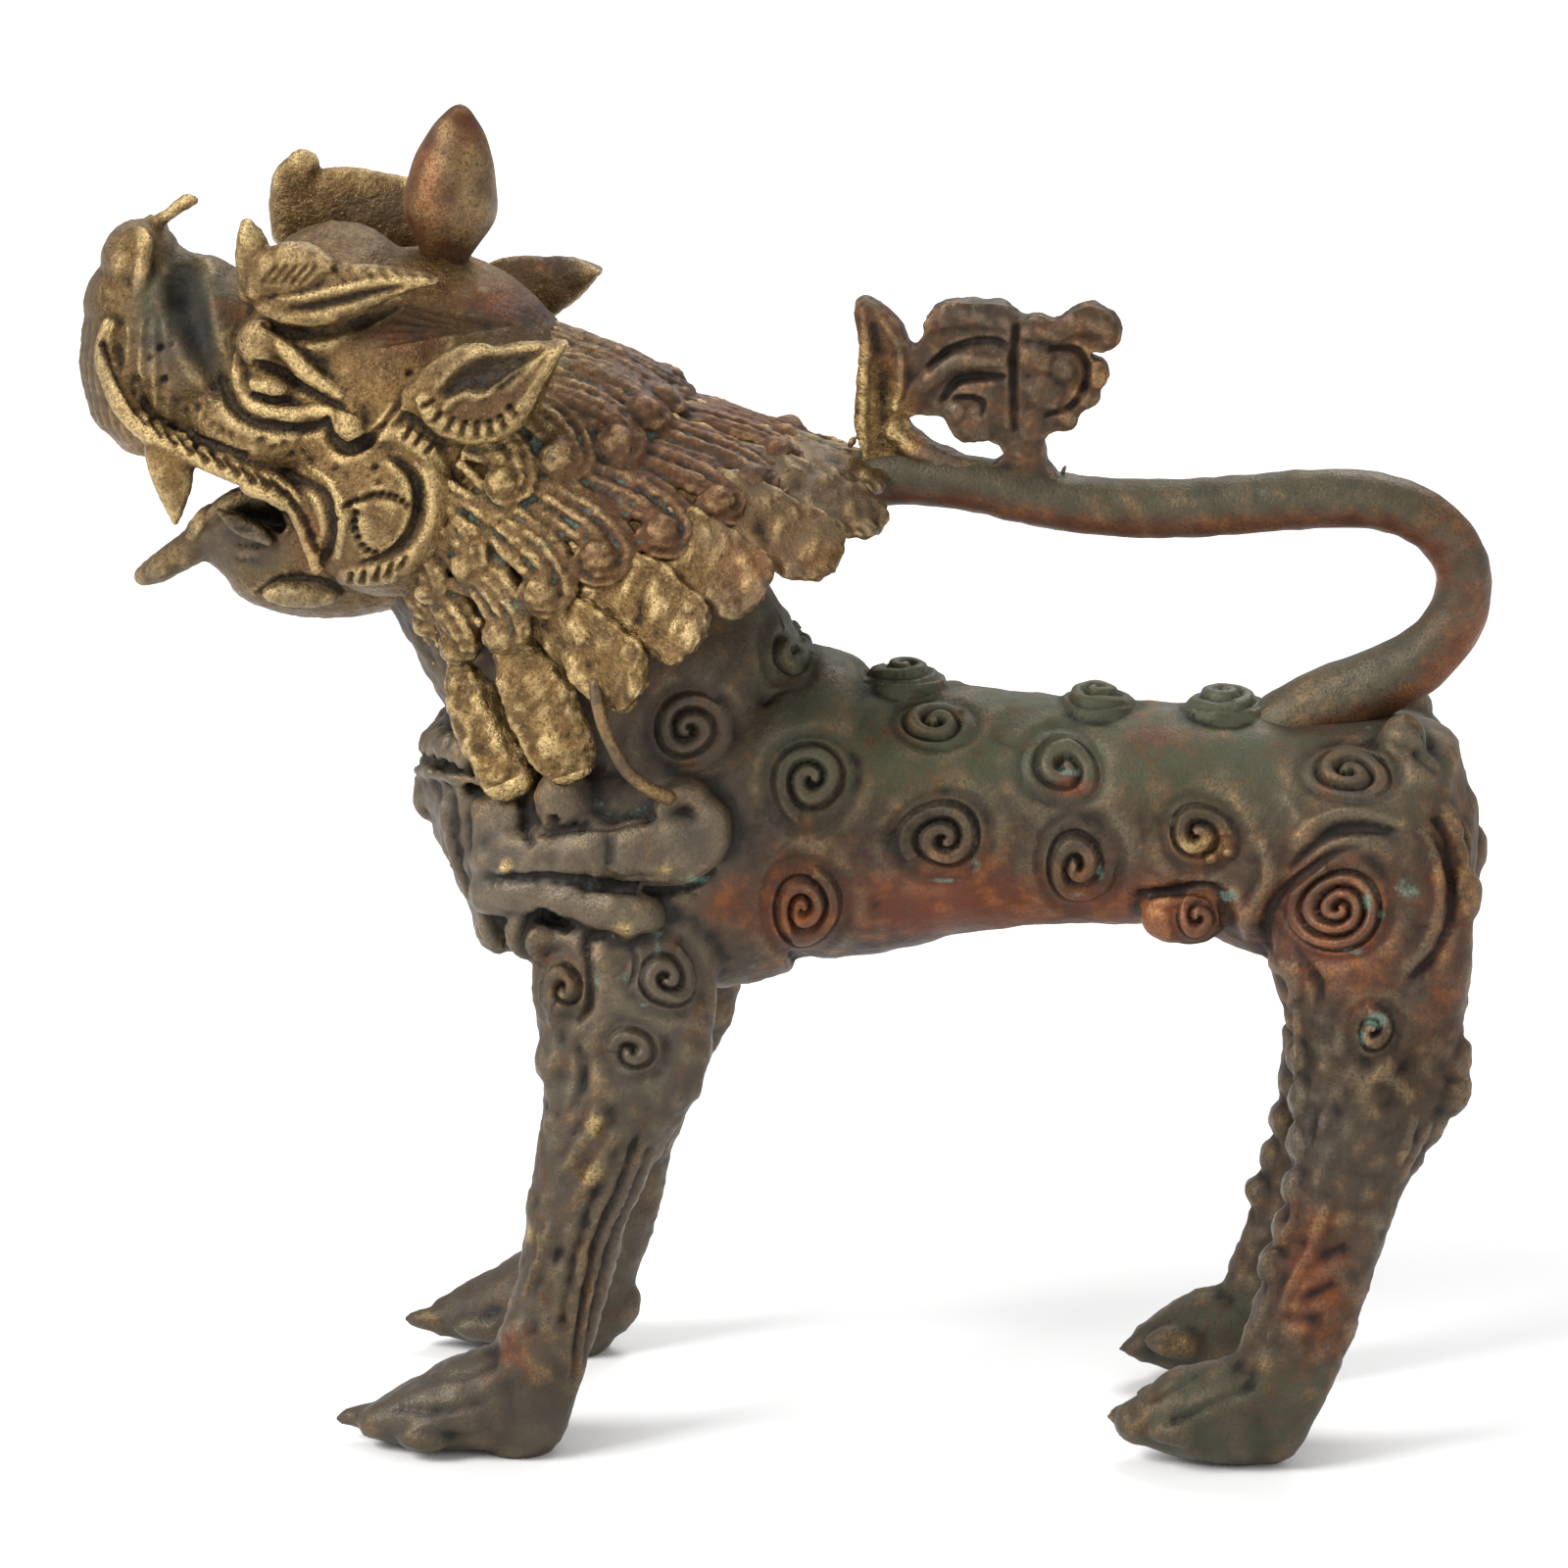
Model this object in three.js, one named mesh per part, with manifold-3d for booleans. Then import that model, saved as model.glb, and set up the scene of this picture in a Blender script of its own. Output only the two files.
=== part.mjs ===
// A guardian lion, a small bronze cast in one with its mane, its tail and its four feet.
// Millimetres. The lion faces -X, its left side is -Y and +Z is up. It stands on its soles at Z = 0.
import * as THREE from "three";
import { mergeVertices } from "three/addons/utils/BufferGeometryUtils.js";
import Module from "manifold-3d";

const wasm = await Module();
wasm.setup();

// Facets that stand out from their neighbours by less than this are merged with them.
const FINEST = 0.5;

// A distance that lies outside the whole figure, and the slab under it that cuts the soles flat.
const OUTSIDE = 140;
const FLOOR = { wide: 400, deep: 40 };

const SIDES = [-1, 1];
const UP = new THREE.Vector3(0, 0, 1);
const AHEAD = new THREE.Vector3(1, 0, 0);
const AWAY = new THREE.Vector3(0, 1, 0);

// The trunk's sections from chest to rump: x, centre z, half height, half width.
const TRUNK = [
  [-40.5, 71.5, 4, 4], [-38.5, 71, 8, 8.5], [-33, 69.5, 13.4, 12.5], [-24, 68, 18, 15.5],
  [-12, 69, 19.5, 16], [0, 71.8, 19, 14.6], [9, 71.2, 16.2, 13.2], [20, 71.4, 14, 12.4],
  [35, 71.3, 12.8, 12], [47, 70.8, 13.2, 12.8], [58, 69.2, 14.4, 14.6], [68, 69, 14.8, 15],
  [73.6, 67.6, 12, 12], [76.8, 67.2, 7.6, 7.5],
];
// The neck, from inside the shoulders to inside the skull: x, z, half depth, half width.
const NECK = [[-11.5, 74, 19, 14.5], [-18.6, 87, 19.2, 14], [-29, 100, 16.8, 14], [-38, 110, 14, 13]];

// A leg's sections from the body down to the ankle: x, distance from the middle, z, half length, half width.
const FORELEG = [
  [-16, 9, 62, 11.5, 7], [-15.4, 12, 54, 11, 6.6], [-16.6, 14, 45, 9.3, 6], [-19.6, 15.5, 36, 6.9, 5.4],
  [-21.8, 16.5, 27, 5.6, 4.9], [-23.3, 17.2, 19, 5.2, 4.9], [-26, 17.8, 11, 5.6, 5.2],
  [-27.5, 18, 4, 6.2, 5.6],
];
const HINDLEG = [
  [66, 7, 70, 11, 8], [66.3, 9.5, 60, 11.6, 8], [67.5, 11.5, 50, 9.4, 6.6], [65.8, 12.8, 40, 7.2, 5.8],
  [63.6, 13.2, 31, 5.9, 5.1], [61.6, 13.4, 23, 5.8, 4.8], [58.4, 13.6, 14, 5.7, 4.8],
  [55.6, 13.8, 5, 5.8, 5],
];
// The right legs stand a little nearer to each other: how far each moves, all of it by `below` under its hip.
const RIGHT_SHIFT = { fore: 2.2, hind: -2, below: 30 };
// Feet: heel x, distance from the middle, and each toe's reach ahead of the heel and its sideways spread.
const FOREFOOT = { heel: -21.8, out: 18, toes: [[23, -6], [26.2, -2.1], [24.4, 2.1], [20, 6]] };
const HINDFOOT = { heel: 60.4, out: 14, toes: [[19, -5], [22.2, -1.6], [20.6, 1.8], [16.6, 4.8]] };
// The heel's sections: distance ahead of its back, centre height, half height, half width.
const PAD = [[0, 3.6, 3, 3], [3, 4.7, 5.5, 5], [9, 5, 6.2, 5.2], [15, 3.6, 4.8, 5.2]];
// A toe's sections: how far along its reach, centre height, half height, half width.
const TOE = [[0.36, 4.8, 5.2, 3], [0.68, 3.4, 4, 2.7], [0.88, 2.2, 2.5, 2], [1, 1.8, 0.8, 0.8]];
// How much of its sideways spread a toe has at the heel and at its tip.
const TOE_SPREAD = [0.7, 1.2];

// The mane opens like a bell from the face ring to the ruff's rim. Each ring has a centre x and z, a lean,
// a depth and a half width.
const FACE_RING = { x: -33, z: 108.5, lean: 59.6, deep: 17.8, wide: 16 };
const RIM_RING = { x: -10.7, z: 95.5, lean: 37.2, deep: 23.4, wide: 21.2 };
// Its locks lie in rows round the bell, each a slanting swelling that is highest near its hooked end.
const LOCKS = { round: 14, high: 2.6, slant: 0.5, rows: [[-0.08, 0.17], [0.17, 0.43], [0.43, 0.7]] };
// The ruff's leaves stand round the rim. Each has a round tip and a crease at either side.
const RUFF = {
  leaves: 17, stepsPerLeaf: 4, start: 0.72, tip: 1.13, flare: 3.4, thick: 1.8,
  creaseDeep: 1, creaseShort: 0.15,
};
// The bell's skin behind the hair, ring by ring: place on the bell, lift, and how much of the creases it
// shows. It turns in at the leaf tips and runs back under them, so the ruff is hollow behind.
const HAIR = { back: -0.12, rings: 12, lift: -0.6 };
const RUFF_RINGS = [
  [RUFF.start, 0, 0.3], [0.88, 1.2, 1], [RUFF.tip, RUFF.flare, 1],
  [RUFF.tip - 0.06, RUFF.flare - RUFF.thick, 1], [0.82, -7, 0.3], [0.7, -12, 0],
];

// The tail from the rump, over the back and into the ruff: x, z, radius.
const TAIL = [
  [53, 79, 3.6], [59.6, 83.2, 4], [66, 86.4, 3.8], [71.2, 89.4, 3.5], [74.9, 94, 3.2], [76.1, 99.2, 3.1],
  [74.6, 103.6, 3.1], [71.2, 107, 3.1], [66.2, 108.4, 3.2], [60.4, 108.3, 3.3], [53, 107.2, 3.3],
  [45, 106.2, 3.3], [37, 106, 3.3], [29, 106.8, 3.4], [21, 108, 3.6], [12, 108.8, 3.8], [2, 110.2, 4],
];
// The flames of the tail tuft: each a run of x, z, half width. A flame reaches at most TUFT_THICK each way
// from the middle plane, and at most FLAME_EDGE more than its half width.
const TUFT_THICK = 2.7;
const FLAME_EDGE = 0.6;
const TUFT = [
  [[10.8, 109, 2.6], [10.8, 114, 2.8], [10.8, 120, 3.2], [10.6, 125, 2.7], [9, 129.4, 0.8]],
  [[11.5, 114, 2.4], [15.5, 112, 2.2], [21, 109.4, 1.6]],
  [[11, 116, 1.8], [14.5, 119, 2.2], [19, 121.2, 3.6], [25, 121.5, 6.2], [30.6, 121, 6], [33.4, 120, 3.6]],
  [[14.8, 121, 0.8], [16.6, 126.4, 1.8], [21.5, 127.4, 2], [27, 126.3, 1.8], [31, 124, 1.4]],
  [[30.5, 124, 1.6], [33.4, 127, 1.9], [35.8, 125.8, 1.7], [35.4, 123.4, 1]],
  [[17.5, 119.5, 1.4], [18.8, 116.8, 1.7], [22.5, 115.4, 1.8], [27, 116, 1.6]],
  [[28.8, 119, 2.4], [28, 112, 2.1], [27.5, 107, 2.6]],
];
const TUFT_KNOBS = [[33.8, 120.8, 2.2], [32.8, 118, 2], [30.8, 116.4, 1.9]];

// Raised spirals on the left side, repeated on the right: x, z, radius, turns.
const SPIRALS = [
  [4.4, 77.7, 4.3, 1.5], [18.2, 80.6, 3.9, 1.3], [32.4, 78.6, 3.9, 1.3], [19.7, 70.6, 4.6, 1.5],
  [34, 67.6, 4.2, 1.4], [3.3, 63.2, 4.2, 1.4], [48.3, 73.2, 3.9, 1.3], [48.4, 62.6, 3.9, 1.1],
  [63, 77, 4, 1.2], [63.4, 64, 8.2, 2.2], [66.8, 51, 3, 1.1], [-12.5, 55.4, 3.9, 1.3],
  [-16.5, 45.6, 3.3, 1.1],
];
// The rosettes along the ridge of the back: x, radius.
const RIDGE_SPIRALS = [[13.8, 4], [34.6, 3.9], [47.5, 3.9]];
const RIDGE_TURNS = 1.3;
const SPIRAL = { steps: 7, wide: 0.8, high: 1.1, inner: 0.22 };

// Scrolls of the shoulder flame: x, distance from the middle, z, half height. All are SCROLL_THICK thick.
const SCROLL_THICK = 2.2;
const SCROLLS = [
  [[-34, 10.5, 69, 2], [-29, 14, 74, 3.4], [-23, 15, 78.5, 3], [-19, 14.8, 81, 1]],
  [[-34.5, 10.5, 64.5, 2.2], [-29, 14, 68, 3.4], [-21, 16.6, 71.2, 4], [-12, 17.4, 71.6, 4.2],
    [-6.5, 16.6, 74, 3], [-6.8, 16, 77.6, 1.4]],
  [[-31, 12.5, 61.5, 2], [-23, 16, 63.8, 3], [-16, 17.2, 62.8, 2.8], [-11.8, 16.8, 65.4, 1]],
];
// The thin strap from the ruff to the shoulder scroll, on the left side: x, y, z.
const STRAP = {
  path: [[-18.4, -22.6, 91], [-17.7, -22.8, 86], [-15.5, -21.8, 82], [-12, -20, 79], [-8, -17.6, 77]],
  radius: 1.1,
};
// The necklace of beads: x, distance from the middle, z. What hangs from it: where, and its half sizes.
const NECKLACE = {
  path: [[-25, 14.6, 84], [-31.4, 12.4, 81], [-36.8, 7.4, 78.4], [-38.8, 0, 77.4]],
  radius: 1.5,
};
const PENDANTS = [
  [[-39.4, 0, 70.8], [2.2, 3.4, 4.4]], [[-36.4, 8.4, 71.6], [2, 3.4, 3.4]], [[-33.6, 0, 58.4], [2, 3.4, 3.2]],
];

// The tufts of hair down the back of the hind leg: x, distance from the middle, z, radius.
const HIND_TUFTS = [
  [73.4, 9, 75, 3.4], [74.6, 9.8, 64.4, 3.2], [74.6, 10.4, 57, 3], [74.8, 11.1, 47.8, 3.6],
  [74, 11.6, 42.4, 3.4], [70.6, 12, 37, 2.6],
];
const TUFT_WIDE = 3.2;
const TUFT_LEAN = 20;
// The knots of hair down the front of each leg: how far down the leg each sits, from 0 to 1, how far back
// from its front edge and out from its middle, and its half sizes.
const SHIN_KNOTS = { shares: [0.3, 0.42, 0.54, 0.66, 0.78], back: 1.2, outward: 0.5, size: [1.76, 3.2, 2.2] };

// The head's masses, as an ellipsoid's centre, half sizes, lean and roundness.
const SKULL = [[[-41, 0, 115], [19, 15.6, 19], 0, 12], [[-50, 0, 125.5], [10, 12, 10], 0, 10]];
const SNOUT = [[[-65, 0, 122], [13.6, 10.6, 11], 8, 12], [[-71.4, 0, 131.4], [5, 6.6, 5.2], 0, 8]];
const CHEEK = { x: -43, out: 8.5, z: 108, size: [11, 9, 11.5] };
// The lower jaw and the tongue that hangs out over it: x, z, half height, half width.
const JAW = [
  [-42, 102, 8, 11], [-50, 100.2, 7.8, 9.6], [-57, 100.2, 7, 7.2], [-61.5, 100.8, 5.4, 5.4],
  [-65.5, 100.2, 3, 3.8], [-69, 98, 2, 3], [-72, 96, 1.7, 2.4], [-73.3, 95, 0.7, 1],
];
// The front teeth stand in an arc round this upright axis: rings of height and radius, fluted into bars.
const TEETH = {
  x: -69.4, bars: 15, flute: 0.9,
  rings: [[128, 8.4], [121.5, 10], [114.5, 9.2], [110.4, 5.6]],
};
const MOUTH = { at: [-56.2, 12.5, 105.6], size: [3, 6.5, 1.8], lean: -24 };
// What is drawn on the face, on either side: x, distance from the middle, z, and a half width if it tapers.
const LIP = [
  [-50.4, 13, 104.6], [-58, 12, 109.4], [-66.6, 10.4, 113.4], [-71, 9.4, 119.4], [-70.2, 8.4, 127],
];
const LIP_RADIUS = 1.7;
const LOWER_LID = [[-59.4, 10.4, 124.4], [-57, 12, 118.4], [-51, 13.5, 117], [-46.6, 14.6, 114.6]];
const LID_RADIUS = 1.2;
const BROW_RIDGE = [
  [-58.4, 10.4, 127.4, 2.2], [-53, 12.4, 124.8, 2.6], [-47, 13.8, 121.6, 2.1], [-41, 15, 117.6, 1.2],
];
const BROW_CURL = [
  [-58, 12, 138.6, 1.2], [-57.6, 12, 135.4, 2.1], [-55, 12, 132, 2.8], [-49, 12, 130.6, 3],
  [-43, 12.4, 131, 2.4], [-37.4, 12.8, 131.8, 0.6],
];
// The right brow curl stands this much higher than the left one.
const BROW_RISE = 4;
const EAR = [
  [-38.6, 14.6, 120, 2.4], [-35, 16.4, 122.2, 4.8], [-30, 17.8, 123.8, 4.6], [-25.8, 18.4, 125.6, 3],
  [-22.4, 18.6, 127, 0.6],
];
const FANG = [[-66.2, 9.4, 115.6, 2.6], [-66.8, 9.4, 110, 2.2], [-67, 8.8, 103.6, 0.6]];
// How thick each of these is at most, each way from its middle.
const FLAT = { ridge: 2.4, curl: 2.6, ear: 1.8, fang: 1.8 };
const EYE = [[-55, 11.4, 121], [3.6, 2.4, 2.3], 24, 8];
const BOSSES = [[[-46.4, 14.4, 117.2], [2.6, 2, 2.6], 0, 6], [[-53.6, 7, 95], [3.4, 2.2, 2.8], 0, 6]];
// The disc on the cheek, with two arcs round it: radius and half thickness.
const CHEEK_DISC = {
  x: -42.4, out: 15.4, z: 107.6, radius: 6.2, thick: 3.2,
  arcs: [[7.4, 1.2], [10.6, 1.8]], arcOut: 16, arcSteps: 6, from: 78, to: -112,
};
// The bud on the crown, as radius and height, and where it stands. The small curl on the nose: x, z, radius.
const BUD = {
  at: [-37.6, 0, 132.4], lean: 6,
  profile: [[0, -3], [2.6, -3], [2.2, 0.5], [4.4, 4.4], [5.2, 8], [4.4, 12], [2, 16.6], [0, 18]],
};
const NOSE_CURL = [[-70.6, 134, 1.4], [-69, 137.4, 1], [-67, 139.4, 1]];

const solidOf = (geometry) => {
  const plain = new THREE.BufferGeometry().setIndex(geometry.index);
  plain.setAttribute("position", geometry.attributes.position);
  const merged = mergeVertices(plain, 1e-4);
  return new wasm.Manifold(
    new wasm.Mesh({
      numProp: 3,
      vertProperties: merged.attributes.position.array,
      triVerts: new Uint32Array(merged.index.array),
    }),
  );
};

// A closed skin: a capped cylinder of unit radius whose rings are set in place one by one. `placed` says
// where the point (u, w) of ring k goes, u and w being the cylinder's own cross directions.
function skin(rings, sides, placed) {
  const last = rings - 1;
  const geometry = new THREE.CylinderGeometry(1, 1, last, sides, last);
  const points = geometry.attributes.position;
  for (let i = 0; i < points.count; i++) {
    points.setXYZ(i, ...placed(Math.round(last / 2 - points.getY(i)), points.getX(i), points.getZ(i)));
  }
  return solidOf(geometry);
}

// Elliptical rings square to a path, `high` towards `up` and `wide` across it.
function sweep(stations, sides, up = UP) {
  const last = stations.length - 1;
  const frames = stations.map(({ at, high, wide }, k) => {
    const along = stations[Math.min(k + 1, last)].at.clone().sub(stations[Math.max(k - 1, 0)].at).normalize();
    const across = up.clone().cross(along).normalize();
    const rise = along.clone().cross(across).multiplyScalar(high);
    return { at, rise, across: across.multiplyScalar(wide) };
  });
  return skin(stations.length, sides, (k, u, w) =>
    frames[k].at.clone().addScaledVector(frames[k].across, u).addScaledVector(frames[k].rise, w));
}

// An ellipsoid, leaned about Y by `lean` degrees so that its nose end rises.
function ball([x, y, z], [rx, ry, rz], lean = 0, round = 10) {
  const geometry = new THREE.SphereGeometry(1, round, Math.ceil(round * 0.6));
  geometry.rotateX(Math.PI / 2).scale(rx, ry, rz).rotateY(THREE.MathUtils.degToRad(lean)).translate(x, y, z);
  return solidOf(geometry);
}

const place = (x, y, z) => new THREE.Vector3(x, y, z);
const station = (x, y, z, high, wide = high) => ({ at: place(x, y, z), high, wide });
const onBothSides = (make) => SIDES.flatMap((side) => make(side));
const join = (whole, piece) => whole.add(piece);

// Where a straight line from `from` first meets a mesh, and which way the facet there looks.
function hit(mesh, from, direction) {
  const [first] = new THREE.Raycaster(from, direction).intersectObject(mesh);
  return { at: first.point, normal: first.face.normal };
}

function trunk() {
  const body = sweep(TRUNK.map(([x, z, high, wide]) => station(x, 0, z, high, wide)), 12);
  const neck = sweep(NECK.map(([x, z, deep, wide]) => station(x, 0, z, deep, wide)), 12, AHEAD);
  return [body, neck];
}

function leg(rows, side) {
  return sweep(rows.map(([x, out, z, long, wide]) => station(x, side * out, z, long, wide)), 9, AHEAD);
}

// A leg's sections on its own side, where the right one's move over more and more towards its foot.
function legRows(rows, shift, side) {
  const share = (z) => (side > 0 ? Math.min(1, (rows[0][2] - z) / RIGHT_SHIFT.below) : 0);
  return rows.map(([x, out, z, ...size]) => [x + shift * share(z), out, z, ...size]);
}

// A foot is a rounded heel with toes fanned out from it. It runs a little under the floor, where the cast
// is cut flat.
function foot({ heel, out, toes }, shift, side) {
  const back = side > 0 ? heel + shift : heel;
  const pad = sweep(PAD.map(([ahead, z, high, wide]) => station(back - ahead, side * out, z, high, wide)), 8);
  const fan = toes.map(([ahead, spread]) =>
    sweep(TOE.map(([share, z, high, wide]) => {
      const across = out + spread * THREE.MathUtils.lerp(...TOE_SPREAD, share);
      return station(back - ahead * share, side * across, z, high, wide);
    }), 5));
  return [pad, ...fan];
}

// Knots of hair on the shin, set along the leg's front edge.
function shinKnots(rows, side) {
  const { shares, back, outward, size } = SHIN_KNOTS;
  return shares.map((share) => {
    const k = share * (rows.length - 1);
    const [low, high] = [rows[Math.floor(k)], rows[Math.ceil(k)]];
    const mixed = low.map((number, i) => THREE.MathUtils.lerp(number, high[i], k - Math.floor(k)));
    const [x, out, z, long] = mixed;
    return ball([x - long + back, side * (out + outward), z], size, 0, 6);
  });
}

// A spiral ridge laid on the body, looked for from outside along `inward`.
function spiral(body, outside, inward, radius, turns, hand) {
  const { at: centre, normal } = hit(body, outside, inward);
  const level = AHEAD.clone().addScaledVector(normal, -normal.x).normalize();
  const steep = normal.clone().cross(level);
  const steps = Math.round(turns * SPIRAL.steps);
  const stations = Array.from({ length: steps + 1 }, (_, k) => {
    const turn = hand * (k * 2 * Math.PI) / SPIRAL.steps;
    const r = radius * (1 - ((1 - SPIRAL.inner) * k) / steps) - SPIRAL.wide / 2;
    const over = centre.clone().addScaledVector(normal, radius);
    over.addScaledVector(level, r * Math.cos(turn)).addScaledVector(steep, r * Math.sin(turn));
    const { at } = hit(body, over, normal.clone().negate());
    return { at, high: SPIRAL.high, wide: SPIRAL.wide };
  });
  return sweep(stations, 3, normal);
}

function spirals(body) {
  const flank = onBothSides((side) =>
    SPIRALS.map(([x, z, radius, turns]) =>
      spiral(body, place(x, side * OUTSIDE, z), place(0, -side, 0), radius, turns, side)));
  const ridge = RIDGE_SPIRALS.map(([x, radius]) =>
    spiral(body, place(x, 0, OUTSIDE), place(0, 0, -1), radius, RIDGE_TURNS, 1));
  return [...flank, ...ridge];
}

// A point on the mane: s runs from the face ring, 0, to the rim, 1, and turn runs round it from the nape, 0.
function manePoint(s, degrees, side, lift = 0) {
  const mix = (name) => THREE.MathUtils.lerp(FACE_RING[name], RIM_RING[name], s);
  const lean = THREE.MathUtils.degToRad(mix("lean"));
  const turn = THREE.MathUtils.degToRad(degrees);
  const deep = (mix("deep") + lift) * Math.cos(turn);
  return place(mix("x") + deep * Math.cos(lean), side * (mix("wide") + lift) * Math.sin(turn),
    mix("z") + deep * Math.sin(lean));
}

// How far a lock swells at s, `degrees` round from the nape.
function lockHeight(s, degrees) {
  const row = LOCKS.rows.findIndex(([start, end]) => s >= start && s < end);
  if (row < 0) return 0;
  const [start, end] = LOCKS.rows[row];
  const along = (s - start) / (end - start);
  const round = (Math.min(degrees, 360 - degrees) / 360) * LOCKS.round + row / 2 + LOCKS.slant * along;
  return LOCKS.high * Math.sin(Math.PI * (round % 1)) * Math.sin(Math.PI * along ** 1.4);
}

// The mane: the hair's rings from the face back, then the ruff's.
function mane() {
  const hair = Array.from({ length: HAIR.rings }, (_, k) =>
    [THREE.MathUtils.lerp(HAIR.back, RUFF.start, k / HAIR.rings), HAIR.lift, 0]);
  const rings = [...hair, ...RUFF_RINGS];
  const sides = RUFF.leaves * RUFF.stepsPerLeaf;
  return skin(rings.length, sides, (k, u, w) => {
    const [s, lift, creased] = rings[k];
    if (Math.hypot(u, w) < 0.5) return manePoint(s, 0, 1, k ? -RIM_RING.deep : -FACE_RING.deep);
    const step = (Math.round((Math.atan2(u, w) / (2 * Math.PI)) * sides) + sides) % sides;
    const crease = step % RUFF.stepsPerLeaf ? 0 : creased;
    const degrees = (360 * step) / sides;
    return manePoint(s - crease * RUFF.creaseShort, degrees, 1,
      lift + lockHeight(s, degrees) - crease * RUFF.creaseDeep);
  });
}

function tail() {
  const rod = sweep(TAIL.map(([x, z, radius]) => station(x, 0, z, radius)), 8, AWAY);
  const flames = TUFT.map((run) =>
    sweep(run.map(([x, z, half]) =>
      station(x, 0, z, Math.min(TUFT_THICK, half + FLAME_EDGE), half)), 6, AWAY));
  const knobs = TUFT_KNOBS.map(([x, z, radius]) => ball([x, 0, z], [radius, TUFT_THICK * 0.8, radius], 0, 6));
  return [rod, ...flames, ...knobs];
}

function ornaments() {
  const scrolls = onBothSides((side) =>
    SCROLLS.map((run) =>
      sweep(run.map(([x, out, z, high]) => station(x, side * out, z, high, SCROLL_THICK)), 5)));
  const chain = onBothSides((side) =>
    [sweep(NECKLACE.path.map(([x, out, z]) => station(x, side * out, z, NECKLACE.radius)), 5)]);
  const pendants = PENDANTS.flatMap(([[x, out, z], size]) =>
    (out ? SIDES : [1]).map((side) => ball([x, side * out, z], size, 0, 6)));
  const strap = sweep(STRAP.path.map(([x, y, z]) => station(x, y, z, STRAP.radius)), 5);
  const tufts = onBothSides((side) =>
    HIND_TUFTS.map(([x, out, z, radius]) =>
      ball([x, side * out, z], [radius, TUFT_WIDE, radius], TUFT_LEAN, 6)));
  return [...scrolls, ...chain, ...pendants, strap, ...tufts];
}

function headMasses() {
  const { x, out, z, size } = CHEEK;
  const cheeks = SIDES.map((side) => ball([x, side * out, z], size));
  const jaw = sweep(JAW.map(([at, high, half, wide]) => station(at, 0, high, half, wide)), 8);
  return [...SKULL.map((mass) => ball(...mass)), ...SNOUT.map((mass) => ball(...mass)), jaw, ...cheeks];
}

function teeth() {
  const { x, bars, flute, rings } = TEETH;
  return skin(rings.length, bars * 2, (k, u, w) => {
    const [z, radius] = rings[k];
    const step = Math.round((Math.atan2(u, w) / Math.PI) * bars);
    const spread = Math.hypot(u, w) < 0.5 ? 0 : radius - (step % 2 ? flute : 0);
    const turn = (step * Math.PI) / bars;
    return place(x + spread * Math.cos(turn), spread * Math.sin(turn), z);
  });
}

// An arc round the cheek disc, from above the jaw's hinge to under the mouth's corner, fullest at its middle.
function cheekArc(radius, thick, side) {
  const { x, z, arcOut, arcSteps, from, to } = CHEEK_DISC;
  return sweep(
    Array.from({ length: arcSteps }, (_, k) => {
      const turn = THREE.MathUtils.degToRad(THREE.MathUtils.lerp(from, to, k / (arcSteps - 1)));
      const size = thick * Math.sqrt(Math.sin((Math.PI * (k + 0.6)) / (arcSteps + 0.2)));
      return station(x + radius * Math.cos(turn), side * arcOut, z + radius * Math.sin(turn), size);
    }), 4, AWAY);
}

function faceDetails(side) {
  const mirrored = ([x, out, z]) => [x, side * out, z];
  const tube = (path, radius) => sweep(path.map((point) => station(...mirrored(point), radius)), 4);
  const taper = (path, flat, up = UP) =>
    sweep(path.map((point) => station(...mirrored(point), point[3], Math.min(point[3], flat))), 5, up);
  const boss = ([centre, ...size]) => ball(mirrored(centre), ...size);
  const rise = side > 0 ? BROW_RISE / 2 : 0;
  const curl = BROW_CURL.map(([x, out, z, half]) =>
    station(x, side * out, z + rise, half + rise, Math.min(half, FLAT.curl)));
  const { x, out, z, radius, thick, arcs } = CHEEK_DISC;
  return [
    tube(LIP, LIP_RADIUS), tube(LOWER_LID, LID_RADIUS), taper(BROW_RIDGE, FLAT.ridge), sweep(curl, 5),
    taper(EAR, FLAT.ear), taper(FANG, FLAT.fang, AHEAD), boss(EYE), ...BOSSES.map(boss),
    boss([[x, out, z], [radius, thick, radius], 0, 8]),
    ...arcs.map(([reach, half]) => cheekArc(reach, half, side)),
  ];
}

function crown() {
  const bud = new THREE.LatheGeometry(BUD.profile.map(([r, h]) => new THREE.Vector2(r, h)), 8);
  bud.rotateX(Math.PI / 2).rotateY(THREE.MathUtils.degToRad(BUD.lean)).translate(...BUD.at);
  const curl = sweep(NOSE_CURL.map(([x, z, radius]) => station(x, 0, z, radius)), 5, AWAY);
  return [solidOf(bud), curl];
}

// The hollow behind the lips, which opens on both sides.
function mouthHollow() {
  const [x, out, z] = MOUTH.at;
  return SIDES.map((side) => ball([x, side * out, z], MOUTH.size, MOUTH.lean, 8));
}

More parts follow.
